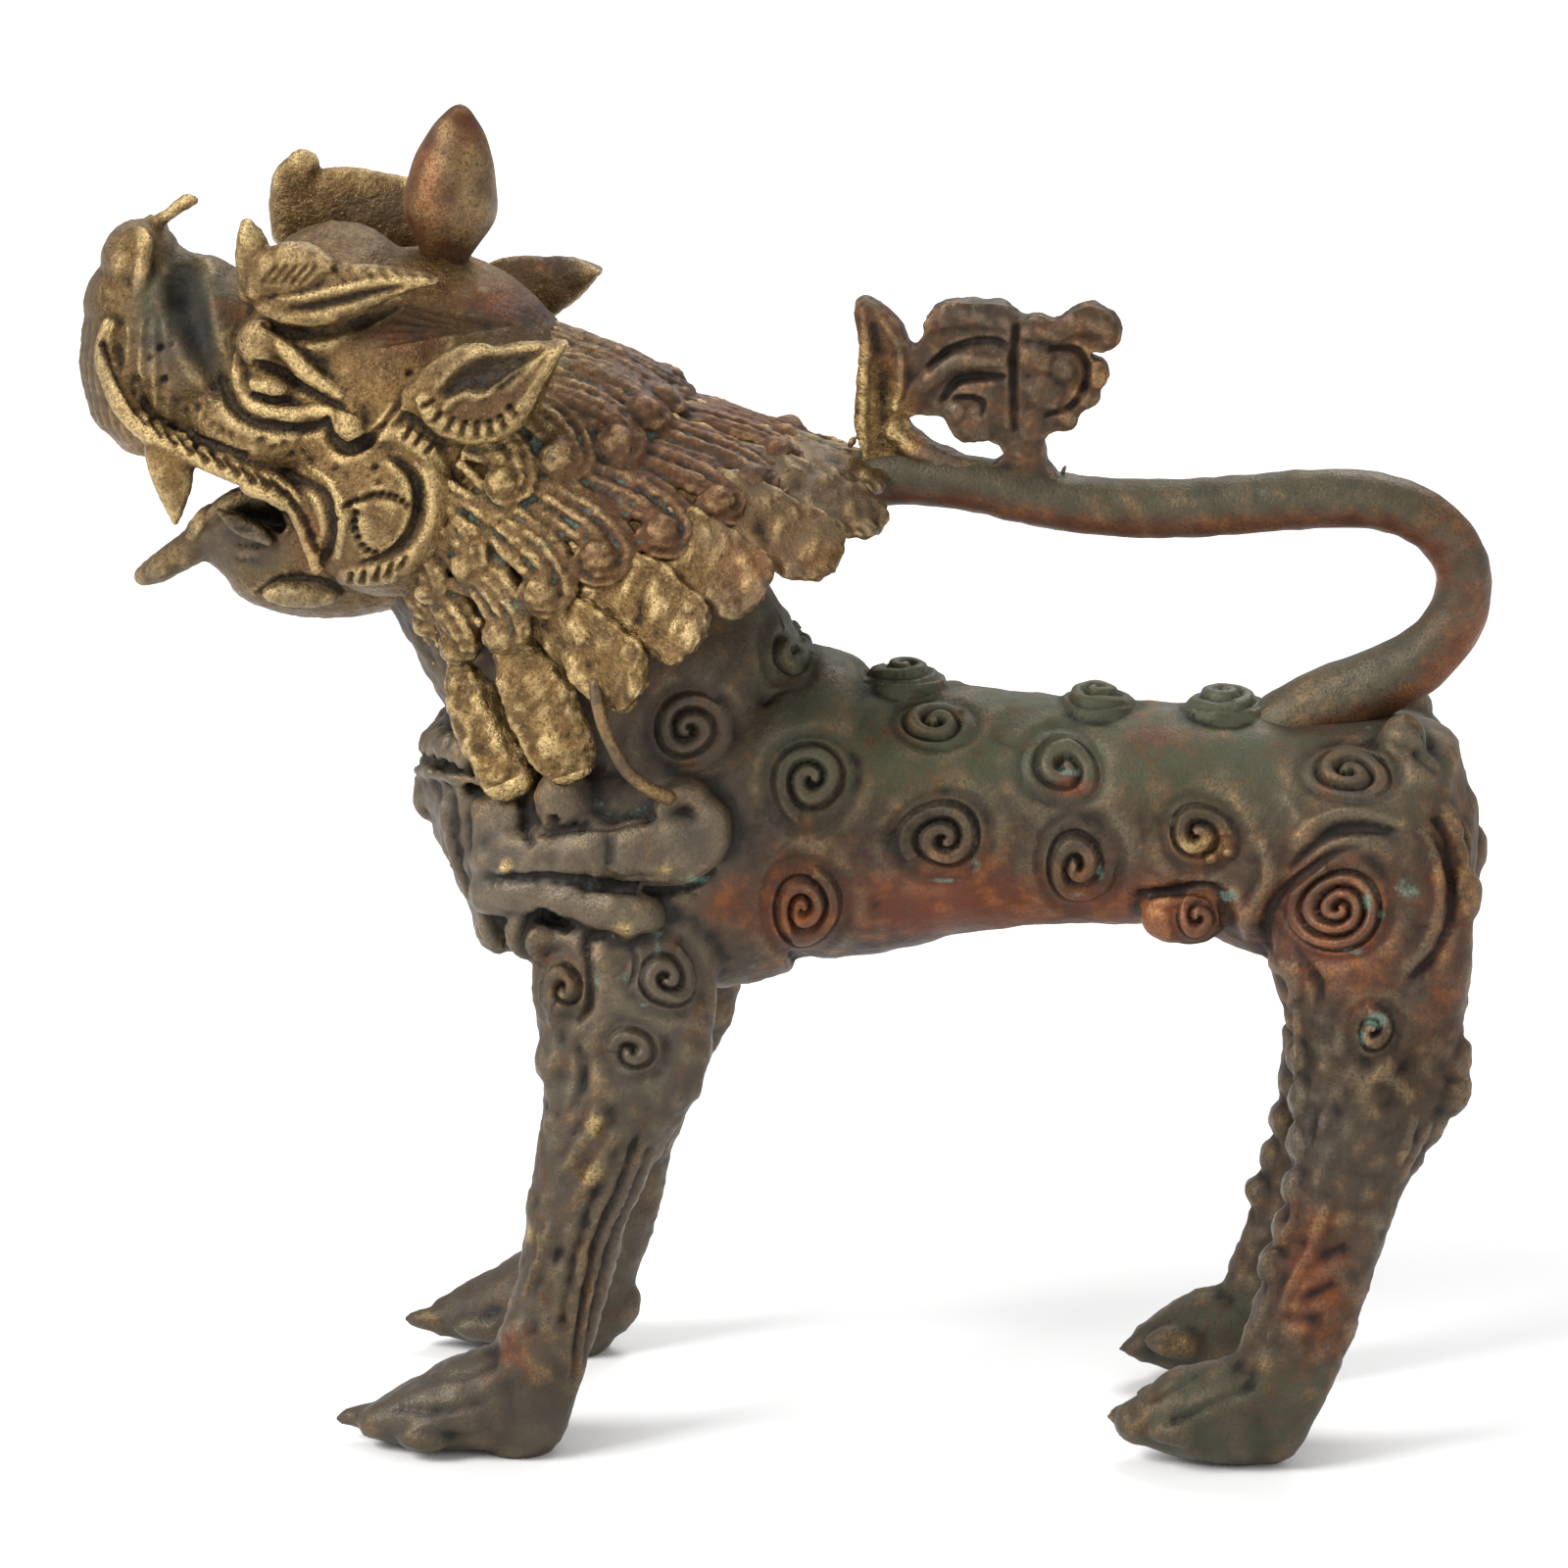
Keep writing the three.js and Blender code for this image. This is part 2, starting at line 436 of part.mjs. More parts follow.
// The body with its limbs comes first, because the spirals are laid on it. The largest body of the result is
// kept, which leaves out the closed bubbles between crossing curls.
function castLion() {
  const { fore, hind } = RIGHT_SHIFT;
  const limbs = SIDES.map((side) =>
    ({ side, front: legRows(FORELEG, fore, side), rear: legRows(HINDLEG, hind, side) }));
  const legs = limbs.flatMap(({ side, front, rear }) => [leg(front, side), leg(rear, side)]);
  const body = [...trunk(), ...legs].reduce(join);
  const pieces = [
    mane(), ...tail(), ...ornaments(), ...spirals(new THREE.Mesh(meshOf(body))), ...headMasses(), teeth(),
    ...crown(),
    ...limbs.flatMap(({ side, front, rear }) => [
      ...foot(FOREFOOT, fore, side), ...foot(HINDFOOT, hind, side), ...shinKnots(front, side),
      ...shinKnots(rear, side), ...faceDetails(side),
    ]),
  ];
  const slab = new THREE.BoxGeometry(FLOOR.wide, FLOOR.wide, FLOOR.deep).translate(0, 0, -FLOOR.deep / 2);
  const floor = solidOf(slab);
  const cast = mouthHollow().reduce((rest, hollow) => rest.subtract(hollow), pieces.reduce(join, body));
  const bodies = cast.asOriginal().simplify(FINEST).subtract(floor).decompose();
  return bodies.reduce((largest, other) => (other.volume() > largest.volume() ? other : largest));
}

function meshOf(solid) {
  const { vertProperties, triVerts } = solid.getMesh();
  const geometry = new THREE.BufferGeometry();
  geometry.setAttribute("position", new THREE.Float32BufferAttribute(vertProperties, 3));
  geometry.setIndex(new THREE.BufferAttribute(triVerts, 1));
  return geometry;
}

const bronze = new THREE.MeshStandardMaterial({ color: 0x6b5138, roughness: 0.5, metalness: 0.85 });
const lion = new THREE.Mesh(meshOf(castLion()), bronze);
lion.name = "guardian_lion";

const part = new THREE.Group();
part.add(lion);
export default part;
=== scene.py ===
"""The cast-metal guardian lion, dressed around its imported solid.

Shapes are worked out in millimetres and brought to metres as each piece is made. The lion faces -X, and its
left side, which the camera sees, faces -Y. Tables say what their columns give. Across and up are places in
the camera's picture, as millimetres on a depth plane beside the lion, and out is the real distance from its
middle plane.
"""

import bpy
import numpy as np
from mathutils import Matrix, Vector
from mathutils.geometry import tessellate_polygon


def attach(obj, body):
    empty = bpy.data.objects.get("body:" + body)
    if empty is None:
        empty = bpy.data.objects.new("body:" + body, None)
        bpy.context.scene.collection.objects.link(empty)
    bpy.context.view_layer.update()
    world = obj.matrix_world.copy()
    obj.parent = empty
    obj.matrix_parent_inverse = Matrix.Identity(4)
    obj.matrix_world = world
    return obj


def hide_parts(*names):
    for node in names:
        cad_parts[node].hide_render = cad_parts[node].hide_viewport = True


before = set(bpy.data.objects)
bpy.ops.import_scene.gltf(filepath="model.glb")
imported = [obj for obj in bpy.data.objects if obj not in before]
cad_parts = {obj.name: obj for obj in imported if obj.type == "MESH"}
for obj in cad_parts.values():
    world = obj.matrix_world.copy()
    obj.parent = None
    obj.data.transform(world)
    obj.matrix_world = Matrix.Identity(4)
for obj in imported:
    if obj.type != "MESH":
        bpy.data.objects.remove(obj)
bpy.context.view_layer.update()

MM = 0.001
NODE = "guardian_lion"
BODY = "root"
SIDES = (-1, 1)
# Where the camera stands.
VIEWPOINT = (101.0, -960.6, 332.5)
# The least half thickness of a bar or a stroke, and the angle left round a ball's poles for their caps.
THINNEST = 0.05
POLE = 0.08


# Working out curves and skins


def spline(rows, count):
    """Catmull-Rom curve through the rows, read at count even steps of the row number."""
    rows = np.asarray(rows, float)
    step = np.linspace(0, len(rows) - 1, count)
    index = np.clip(step.astype(int), 0, len(rows) - 2)
    f = (step - index)[:, None]
    before = rows[np.maximum(index - 1, 0)]
    here = rows[index]
    after = rows[index + 1]
    beyond = rows[np.minimum(index + 2, len(rows) - 1)]
    bend = 2 * before - 5 * here + 4 * after - beyond
    twist = 3 * here - before - 3 * after + beyond
    return 0.5 * (2 * here + (after - before) * f + bend * f**2 + twist * f**3)


def unit(vectors):
    """Each vector divided by its own length."""
    length = np.linalg.norm(vectors, axis=-1, keepdims=True)
    return vectors / np.maximum(length, 1e-9)


def smooth_step(low, high, value):
    """0 below low, 1 above high, and the curve 3t^2 - 2t^3 between them."""
    t = np.clip((value - low) / (high - low), 0, 1)
    return t * t * (3 - 2 * t)


def from_view(rows, plane):
    """Rows of across, up, out and more, read from the picture as if they lay at the depth plane.

    Each slides along its own line of sight to its real distance out from the middle.
    """
    rows = np.array(rows, float)
    share = (-VIEWPOINT[1] - rows[:, 2]) / (-VIEWPOINT[1] - plane)
    rows[:, 0] = VIEWPOINT[0] + (rows[:, 0] - VIEWPOINT[0]) * share
    rows[:, 1] = VIEWPOINT[2] + (rows[:, 1] - VIEWPOINT[2]) * share
    return rows


def to_view(points, plane):
    """Where each point's line of sight, from its own side, crosses the depth plane: across and up."""
    share = (-VIEWPOINT[1] - plane) / (-VIEWPOINT[1] - np.abs(points[:, 1]))
    across = VIEWPOINT[0] + (points[:, 0] - VIEWPOINT[0]) * share
    return across, VIEWPOINT[2] + (points[:, 2] - VIEWPOINT[2]) * share


def offset(rows, distance):
    """The same curve moved square to itself by a distance, to the left of its run."""
    rows = spline(rows, 24)
    along = unit(np.gradient(rows[:, :2], axis=0))
    rows[:, 0] -= along[:, 1] * distance
    rows[:, 1] += along[:, 0] * distance
    return rows


def shell(rings):
    """A stack of closed rings joined by triangles, with a point in the middle of each end."""
    count, sides = rings.shape[:2]
    ends = np.stack([rings[0].mean(0), rings[-1].mean(0)])
    points = np.concatenate([rings.reshape(-1, 3), ends])
    i, j = np.meshgrid(np.arange(count - 1), np.arange(sides), indexing="ij")
    a = (i * sides + j).ravel()
    b = (i * sides + (j + 1) % sides).ravel()
    c = b + sides
    d = a + sides
    k = np.arange(sides)
    after = (k + 1) % sides
    last = (count - 1) * sides
    first_cap = np.stack([np.full(sides, count * sides), after, k], 1)
    last_cap = np.stack([np.full(sides, count * sides + 1), last + k, last + after], 1)
    faces = [np.stack([a, b, c], 1), np.stack([a, c, d], 1), first_cap, last_cap]
    return points, np.concatenate(faces)


def sweep(path, rise, high, wide, section):
    """A section carried along a path.

    Each ring is the path's point, plus across times wide times the section's first column, plus rise times
    high times its second column, where across stands square to the path and to rise.
    """
    along = unit(np.gradient(path, axis=0))
    rise = unit(rise - along * (rise * along).sum(1, keepdims=True))
    across = np.cross(rise, along)
    flat = across[:, None] * (wide[:, None] * section[None, :, 0])[..., None]
    tall = rise[:, None] * (high[:, None] * section[None, :, 1])[..., None]
    return shell(path[:, None] + flat + tall)


def oval(sides, square=2.0):
    """A ring of points on a superellipse: cosine and sine, each to the power 2 / square, its sign kept."""
    turn = np.linspace(0, 2 * np.pi, sides, endpoint=False)
    ring = np.stack([np.cos(turn), np.sin(turn)], 1)
    return np.sign(ring) * np.abs(ring) ** (2 / square)


# The angles of the three rings that round off a bar's end.
BLUNT = np.radians([80, 55, 28])


def tube(rows, across=(0, 1, 0), count=40, sides=24, square=2.0, blunt=1.0):
    """A rounded bar through rows of x, y, z, half height and half width.

    Half width is measured towards across, half height square to it and to the path. Each end is rounded off
    by rings that move out by the sine of an angle, times blunt, while they shrink by its cosine.
    """
    path = spline(rows, count)
    path[:, 3:] = np.maximum(path[:, 3:], THINNEST)
    start = unit(path[0, :3] - path[1, :3])
    finish = unit(path[-1, :3] - path[-2, :3])
    head = np.repeat(path[:1], len(BLUNT), 0)
    foot = np.repeat(path[-1:], len(BLUNT), 0)
    head[:, :3] += start * (np.sin(BLUNT) * path[0, 3:].min() * blunt)[:, None]
    foot[:, :3] += finish * (np.sin(BLUNT) * path[-1, 3:].min() * blunt)[::-1, None]
    head[:, 3:] *= np.cos(BLUNT)[:, None]
    foot[:, 3:] *= np.cos(BLUNT)[::-1, None]
    path = np.concatenate([head, path, foot])
    along = unit(np.gradient(path[:, :3], axis=0))
    rise = np.cross(along, np.asarray(across, float))
    return sweep(path[:, :3], rise, path[:, 3], path[:, 4], oval(sides, square))


def ball(centre, sizes, lean=0.0, rings=18, sides=26):
    """An ellipsoid: rings at minus the cosine of an even angle, tipped about Y by lean degrees."""
    turn = np.linspace(POLE, np.pi - POLE, rings)[:, None]
    ring = oval(sides)
    x = np.sin(turn) * ring[None, :, 0]
    y = np.sin(turn) * ring[None, :, 1]
    z = -np.cos(turn) * np.ones(sides)
    tip = np.radians(lean)
    shape = np.stack([x, y, z], 2) * np.asarray(sizes, float)
    turned = shape.copy()
    turned[..., 0] = shape[..., 0] * np.cos(tip) + shape[..., 2] * np.sin(tip)
    turned[..., 2] = shape[..., 2] * np.cos(tip) - shape[..., 0] * np.sin(tip)
    return shell(turned + np.asarray(centre, float))


def joined(shells):
    """All the shells as one list of points and faces."""
    starts = np.cumsum([0] + [len(points) for points, _ in shells])
    faces = [faces + start for (_, faces), start in zip(shells, starts)]
    return np.concatenate([points for points, _ in shells]), np.concatenate(faces)


def mirrored(points_and_faces):
    """The same shell on the other side, its faces turned round so that they still look out."""
    points, faces = points_and_faces
    return points * np.array([1, -1, 1]), faces[:, ::-1]


def mesh_of(name, points, faces):
    """A Blender mesh with these points and triangles."""
    mesh = bpy.data.meshes.new(name)
    mesh.vertices.add(len(points))
    mesh.vertices.foreach_set("co", np.ascontiguousarray(points, np.float32).ravel())
    mesh.loops.add(len(faces) * 3)
    mesh.loops.foreach_set("vertex_index", np.ascontiguousarray(faces, np.int32).ravel())
    mesh.polygons.add(len(faces))
    mesh.polygons.foreach_set("loop_start", np.arange(0, len(faces) * 3, 3, dtype=np.int32))
    mesh.update(calc_edges=True)
    return mesh


def fused(shells, grain_size, rounds):
    """One skin round overlapping shells: a voxel remesh of the given grain, then rounds of smoothing."""
    mesh = mesh_of("rough", *joined(shells))
    rough = bpy.data.objects.new("rough", mesh)
    bpy.context.scene.collection.objects.link(rough)
    remesh = rough.modifiers.new("skin", "REMESH")
    remesh.mode = "VOXEL"
    remesh.voxel_size = grain_size
    smoothing = rough.modifiers.new("soft", "SMOOTH")
    smoothing.factor = 0.5
    smoothing.iterations = rounds
    bpy.context.view_layer.update()
    finished = rough.evaluated_get(bpy.context.evaluated_depsgraph_get())
    skin = finished.to_mesh()
    skin.calc_loop_triangles()
    points = np.empty(len(skin.vertices) * 3, np.float32)
    skin.vertices.foreach_get("co", points)
    faces = np.empty(len(skin.loop_triangles) * 3, np.int32)
    skin.loop_triangles.foreach_get("vertices", faces)
    finished.to_mesh_clear()
    bpy.data.objects.remove(rough)
    bpy.data.meshes.remove(mesh)
    return points.reshape(-1, 3).astype(float), faces.reshape(-1, 3)


def normals_of(points, faces):
    """Each point's normal: the cross products of its faces added up and brought to length 1."""
    a, b, c = points[faces[:, 0]], points[faces[:, 1]], points[faces[:, 2]]
    face_normal = np.cross(b - a, c - a)
    total = np.zeros_like(points)
    for axis in range(3):
        weights = np.repeat(face_normal[:, axis], 3)
        total[:, axis] = np.bincount(faces.ravel(), weights, len(points))
    return unit(total)


def edges_of(faces):
    """Every edge once, as a pair of point numbers."""
    pairs = np.concatenate([faces[:, [0, 1]], faces[:, [1, 2]], faces[:, [2, 0]]])
    return np.unique(np.sort(pairs, 1), axis=0)


def averaged(values, edges, rounds):
    """Each value moved to the mean of its neighbours' values, rounds times over."""
    count = len(values)
    a, b = edges.T
    share = np.maximum(np.bincount(a, minlength=count) + np.bincount(b, minlength=count), 1)
    values = values.reshape(count, -1).copy()
    for _ in range(rounds):
        for column in range(values.shape[1]):
            v = values[:, column]
            total = np.bincount(a, v[b], count) + np.bincount(b, v[a], count)
            values[:, column] = total / share
    return values


def refined(points, faces, zone):
    """Cuts each edge whose two ends lie in the zone in half, and splits the faces beside it to match."""
    ends = np.stack([faces, np.roll(faces, -1, 1)], 2)
    low, high = ends.min(2), ends.max(2)
    cut = zone[low] & zone[high]
    key = low.astype(np.int64) * len(points) + high
    unique, inverse = np.unique(key[cut], return_inverse=True)
    middle = np.full(faces.shape, -1)
    middle[cut] = len(points) + inverse
    halves = (points[unique // len(points)] + points[unique % len(points)]) / 2
    cuts = cut.sum(1)
    whole = faces[cuts == 0]
    full, m = faces[cuts == 3], middle[cuts == 3]
    parts = [whole, np.stack([full[:, 0], m[:, 0], m[:, 2]], 1)]
    parts += [np.stack([m[:, 0], full[:, 1], m[:, 1]], 1), np.stack([m[:, 2], m[:, 1], full[:, 2]], 1), m]
    once = cuts == 1
    turn = cut[once].argmax(1)[:, None] + np.arange(3)
    corner = np.take_along_axis(faces[once], turn % 3, 1)
    centre = middle[once].max(1)
    parts.append(np.stack([corner[:, 0], centre, corner[:, 2]], 1))
    parts.append(np.stack([centre, corner[:, 1], corner[:, 2]], 1))
    return np.concatenate([points, halves]), np.concatenate(parts)


WAVES = 22


def grain(points, rows):
    """The roughness that the mould leaves: the sum of rough fields, whose rows give height, size and seed.

    A field is the sum of cosines with random directions and phases, size from crest to crest, over the root
    of their number.
    """
    rough = 0.0
    for high, size, seed in rows:
        draw = np.random.default_rng(seed)
        direction = unit(draw.normal(size=(WAVES, 3))) * draw.uniform(0.7, 1.4, (WAVES, 1))
        phase = draw.uniform(0, 2 * np.pi, WAVES)
        total = np.zeros(len(points))
        for vector, start in zip(direction, phase):
            total += np.cos(points @ vector * (2 * np.pi / size) + start)
        rough = rough + high * (total / np.sqrt(WAVES))
    return rough


def roughened(points, faces, rows):
    """A skin moved along its normals by its grain."""
    return points + normals_of(points, faces) * grain(points, rows)[:, None], faces


# Low relief drawn over a side view of a skin


# A coil's outer half lap and its groove's half width as shares of its pitch, the depth of groove and gutter
# as shares of its height, the gutter's place as a share of its radius, and the gutter's half width.
LAST_LAP = 0.45
GROOVE_DEPTH = 0.42
GROOVE_WIDE = 0.24
GUTTER_DEPTH = 0.35
GUTTER_AT = 1.1
GUTTER_WIDE = 0.9


class Relief:
    """Heights drawn over one flat view of a skin: raised strokes keep the highest, cut ones the deepest."""

    def __init__(self, across, up, seen):
        self.flat = np.column_stack([across, up])
        self.seen = seen
        self.raised = np.zeros(len(across))
        self.cut = np.zeros(len(across))

    def put(self, near, value):
        """Keeps the highest and the lowest value drawn at each point."""
        self.raised[near] = np.maximum(self.raised[near], value)
        self.cut[near] = np.minimum(self.cut[near], value)

    def around(self, place, margin):
        """The seen points in the box round a stroke's middle line, widened by a margin."""
        low, top = place.min(0) - margin, place.max(0) + margin
        inside = ((self.flat > low) & (self.flat < top)).all(1)
        return np.flatnonzero(inside & (self.seen > 0))

    def stroke(self, rows, edge=0.5, count=60):
        """A bead or a groove along a curve.

        Rows give across, up, half width and height. The height falls off as one minus the square of the
        share of the half width, to the power edge.
        """
        path = spline(rows, count)
        place, wide, high = path[:, :2], np.maximum(path[:, 2], THINNEST), path[:, 3]
        near = self.around(place, wide.max() + 0.3)
        if not len(near):
            return
        points = self.flat[near]
        closest = ((points[:, None] - place[None]) ** 2).sum(2).argmin(1)
        tangent = unit(np.gradient(place, axis=0))
        gap = points - place[closest]
        ahead = (gap * tangent[closest]).sum(1)
        off = gap[:, 0] * tangent[closest, 1] - gap[:, 1] * tangent[closest, 0]
        past = ((closest == 0) & (ahead < 0)) | ((closest == count - 1) & (ahead > 0))
        distance = np.where(past, np.hypot(ahead, off), np.abs(off))
        self.put(near, high[closest] * np.clip(1 - (distance / wide[closest]) ** 2, 0, 1) ** edge)

    def coil(self, across, up, radius, turns, hand, high, start=0.0, squash=1.0):
        """A soft wire laid flat in a spiral: its middle line lies pitch times the turns from the centre.

        The radius wanders by a few per cent as it goes round, the wire is rounded across, it sinks towards
        the end of its last turn, and a broad gutter runs round it. Squash is its height over its width.
        """
        centre = np.array([[across, up]])
        near = self.around(centre, radius * max(1, squash) * GUTTER_AT + 1.6)
        gap = (self.flat[near] - centre) / [1, squash]
        turn = np.arctan2(gap[:, 1], gap[:, 0])
        wander = 0.06 * np.cos(turn + across) + 0.05 * np.cos(2 * turn + up)
        wander = wander + 0.03 * np.cos(3 * turn - across)
        r = np.hypot(gap[:, 0], gap[:, 1]) * (1 + wander)
        angle = (hand * turn / (2 * np.pi) - start) % 1
        pitch = radius / (turns + LAST_LAP)
        lap = np.clip(np.round(r / pitch - angle), 0, np.floor(turns - angle))
        travel = lap + angle
        distance = np.abs(r - pitch * travel)
        bead = np.clip(1 - (distance / (pitch / 2)) ** 2, 0, 1) ** 0.75
        bead *= 0.35 + 0.65 * smooth_step(0, 0.5, turns - travel)
        groove = np.clip(1 - ((distance - pitch / 2) / (pitch * GROOVE_WIDE)) ** 2, 0, 1) * (r < radius)
        self.put(near, bead * high)
        self.put(near, -GROOVE_DEPTH * high * groove)
        gutter = np.clip(1 - ((r - radius * GUTTER_AT) / GUTTER_WIDE) ** 2, 0, 1) ** 1.5
        self.put(near, -GUTTER_DEPTH * high * gutter)

    def dome(self, across, up, radius, high, edge=0.5):
        """A round knob or, with a negative height, a pit."""
        centre = np.array([[across, up]])
        near = self.around(centre, radius)
        r = np.linalg.norm(self.flat[near] - centre, axis=1)
        self.put(near, high * np.clip(1 - (r / radius) ** 2, 0, 1) ** edge)

    def nick(self, across, up, run, rise, wide, deep):
        """A short straight cut centred on a point, running and rising by so much from end to end."""
        ends = [[across - run / 2, up - rise / 2, wide, -deep], [across, up, wide, -deep],
                [across + run / 2, up + rise / 2, wide, -deep]]
        self.stroke(ends, edge=1, count=10)

    def height(self):
        """Two columns: how far the strokes raise each point, and how far they cut it."""
        return np.stack([self.raised, self.cut], 1) * self.seen[:, None]


def side_relief(points, normals, side, plane, start=0.05, full=0.5):
    """A relief over one side, read along the picture's lines of sight.

    It fades where the skin turns away, from full to start of the normal's share of that side.
    """
    seen = smooth_step(start, full, normals[:, 1] * side) * (points[:, 1] * side > 0)
    return Relief(*to_view(points, plane), seen)


# The depth planes at which each part of the picture was read.
FACE_PLANE = 12.0
EAR_PLANE = 16.0
TRUNK_PLANE = 13.0
THIGH_PLANE = 14.0
CHEST_PLANE = 17.0
LEG_PLANE = 18.0
STRAP_PLANE = 20.0


def seen_leaf(rows, side, thick, plane=FACE_PLANE, square=2.4, fine=1):
    """A flat ridge whose rows of across, up, out and half height were read from the picture."""
    rows = from_view(rows, plane)
    bars = [[x, side * out, z, high, thick / 2] for x, z, out, high in rows]
    return tube(bars, count=40 * fine, sides=24 * fine, square=square)


def seen_rope(rows, side, plane=FACE_PLANE):
    """A round ridge read from the picture."""
    rows = from_view(rows, plane)
    return tube([[x, side * out, z, radius, radius] for x, z, out, radius in rows], sides=16)


def seen_ball(place, side, sizes, lean=0, plane=FACE_PLANE):
    """A round knob read from the picture."""
    (x, z, out), = from_view([place], plane)
    return ball([x, side * out, z], sizes, lean)


# The lion's main forms, as the solid has them

# Bars of the middle line: x, z, half height and half width.
TRUNK = [[-40.4, 73.6, 3.2, 4], [-38.1, 73.4, 5.6, 7], [-33, 71.8, 11, 11.4], [-24.4, 69, 17.2, 15.5],
         [-12, 69, 19.2, 16], [0, 71.5, 18.7, 14.6], [9, 70.55, 16.15, 13.2], [20, 71.4, 14, 12.4],
         [35, 71.55, 12.55, 12], [47, 71.3, 12.7, 12.8], [58, 69.5, 14.1, 14.6], [68, 69, 14.6, 15],
         [73.2, 67.8, 12, 12], [76.2, 67.4, 7.6, 7.5]]
NECK = [[-12, 74, 19.4, 14.5], [-19, 87, 19.6, 14], [-29, 100, 16.9, 14], [-38, 110, 14, 13]]
# Bars of the left legs: x, out, z, half height and half width.
FORELEG = [[-15.8, 9, 62, 11.1, 7], [-16.5, 12, 54, 10.4, 6.6], [-16.6, 14, 45, 9.5, 6],
           [-19.2, 15.5, 36, 6.8, 5.4], [-21.7, 16.5, 27, 5.6, 4.9], [-23.3, 17.2, 19, 5.2, 4.9],
           [-25.8, 17.8, 11, 5.3, 5.2], [-28, 18, 4, 5.4, 5.2]]
HINDLEG = [[66, 7, 70, 11, 8], [66.3, 9.5, 60, 11.6, 8], [67.5, 11.5, 50, 9.4, 6.6],
           [65.9, 12.8, 40, 7.3, 5.8], [63.8, 13.2, 31, 6, 5.1], [61.8, 13.4, 23, 5.8, 4.8],
           [58.8, 13.6, 14, 5.8, 4.8], [55.4, 13.8, 5, 5.3, 4.8]]
# How far back the right legs stand at the foot, forward where below 0, and the height it grows over.
RIGHT_SHIFT = {"fore": 1.8, "hind": -2.8, "below": 30.0}
# A foot's distance out, the height its toes spring from, the right one's shift and rise, its wedge as rows
# of x, top, bottom and half width, and each toe's tip x, sideways place and rise.
FEET = {
    "fore": {"out": 18.0, "toe_height": 2.5, "right": [3.3, 1.0],
             "wedge": [[-25.4, 8.6, 1.2, 3.2], [-27.4, 11, 0.3, 4.6], [-30, 12, 0, 5.8],
                       [-33.6, 11, 0, 6.1], [-37.4, 9, 0, 5.7], [-41.2, 6.9, 0.3, 4.7],
                       [-44.6, 4.9, 1, 3.2]],
             "toes": [[-43.2, -5, 0.4], [-49.1, -1.4, 0], [-46, 1.8, 0], [-41.2, 5, 0]]},
    "hind": {"out": 14.0, "toe_height": 4.4, "right": [-0.3, -0.2],
             "wedge": [[57.6, 9, 1.8, 2.8], [56, 12, 0.6, 4.2], [53.6, 12.6, 0, 5], [50, 11.8, 0, 5.2],
                       [46.6, 10.8, 0.5, 5], [43.6, 8.8, 1.2, 4.3], [41.2, 7, 2, 3]],
             "toes": [[41, -4.4, 1.9], [38.1, -1.4, 0], [39.6, 1.8, 0], [43, 4.4, 0]]},
}
# A toe from root to claw: share of its length, half height and half width.
TOE = [[0.5, 2.1, 2.3], [0.78, 1.6, 1.8], [0.92, 1.05, 1.2], [0.97, 0.7, 0.7], [1, 0.4, 0.45]]
# Where the toes spring from: a row of the wedge, how far up, and the share of their spread there.
TOE_ROOT = {"row": 3, "up": 1.4, "spread": 0.75}
# The mane's rings at the face and at the rim: x, z, lean in degrees, half depth and half width.
FACE_RING = np.array([-33, 108.5, 59.6, 17.8, 16])
RIM_RING = np.array([-10.7, 95.5, 37.2, 23.4, 21.2])
# How much flatter the bell is at the nape, at shares of the way to the rim, and at the throat.
NAPE_DROP = [[0, 0.15, 0.4, 0.6, 0.8], [-0.6, 0.1, 1.6, 1.7, 1.3]]
THROAT_DROP = 0.8
# The core under the locks: share of the way to the rim, and lift.
CORE = [[-0.2, -6], [-0.12, -1.6], [0.1, -0.8], [0.45, -0.8], [0.72, -0.8], [0.84, -2.5], [0.82, -7],
        [0.7, -12]]


def bell(s, turn, lift, side=-1):
    """A point on the bell of the mane.

    Share s runs from the ring round the face to the ring round the rim, and turn in degrees from the nape
    to the throat. Each ring is a leaning ellipse, a little flatter at the nape and at the throat, and lift
    swells it.
    """
    x, z, lean, deep, wide = (FACE_RING[k] + (RIM_RING[k] - FACE_RING[k]) * s for k in range(5))
    lean, turn = np.radians(lean), np.radians(turn)
    share = np.cos(turn)
    deep = (deep + lift) * share
    deep = deep - np.interp(s, *NAPE_DROP) * np.maximum(share, 0) ** 2
    deep = deep + THROAT_DROP * np.maximum(-share, 0) ** 2
    place = [x + deep * np.cos(lean), side * (wide + lift) * np.sin(turn), z + deep * np.sin(lean)]
    return np.stack(np.broadcast_arrays(*place), -1)


def bell_normal(s, turn, side=-1):
    """The bell's outward direction: the cross product of small steps along and round it."""
    along = bell(s + 0.01, turn, 0, side) - bell(s - 0.01, turn, 0, side)
    around = bell(s, turn + 1, 0, side) - bell(s, turn - 1, 0, side)
    return unit(np.cross(around, along) * -side)


def bell_core():
    """The solid inside the locks: rings from the face to behind the ruff."""
    turn = np.linspace(0, 360, 60, endpoint=False)
    return shell(np.stack([bell(s, turn, lift) for s, lift in CORE])[:, ::-1])


def leg(rows, side, shift):
    """One leg: a bar whose right-hand twin is shifted by the cube of the share of the way down."""
    rows = np.asarray(rows, float)
    share = np.clip((rows[0, 2] - rows[:, 2]) / RIGHT_SHIFT["below"], 0, 1)
    x = rows[:, 0] + (side > 0) * shift * share**3
    path = np.column_stack([x, side * rows[:, 1], rows[:, 2], rows[:, 3], rows[:, 4]])
    return tube(path, count=44, sides=30)


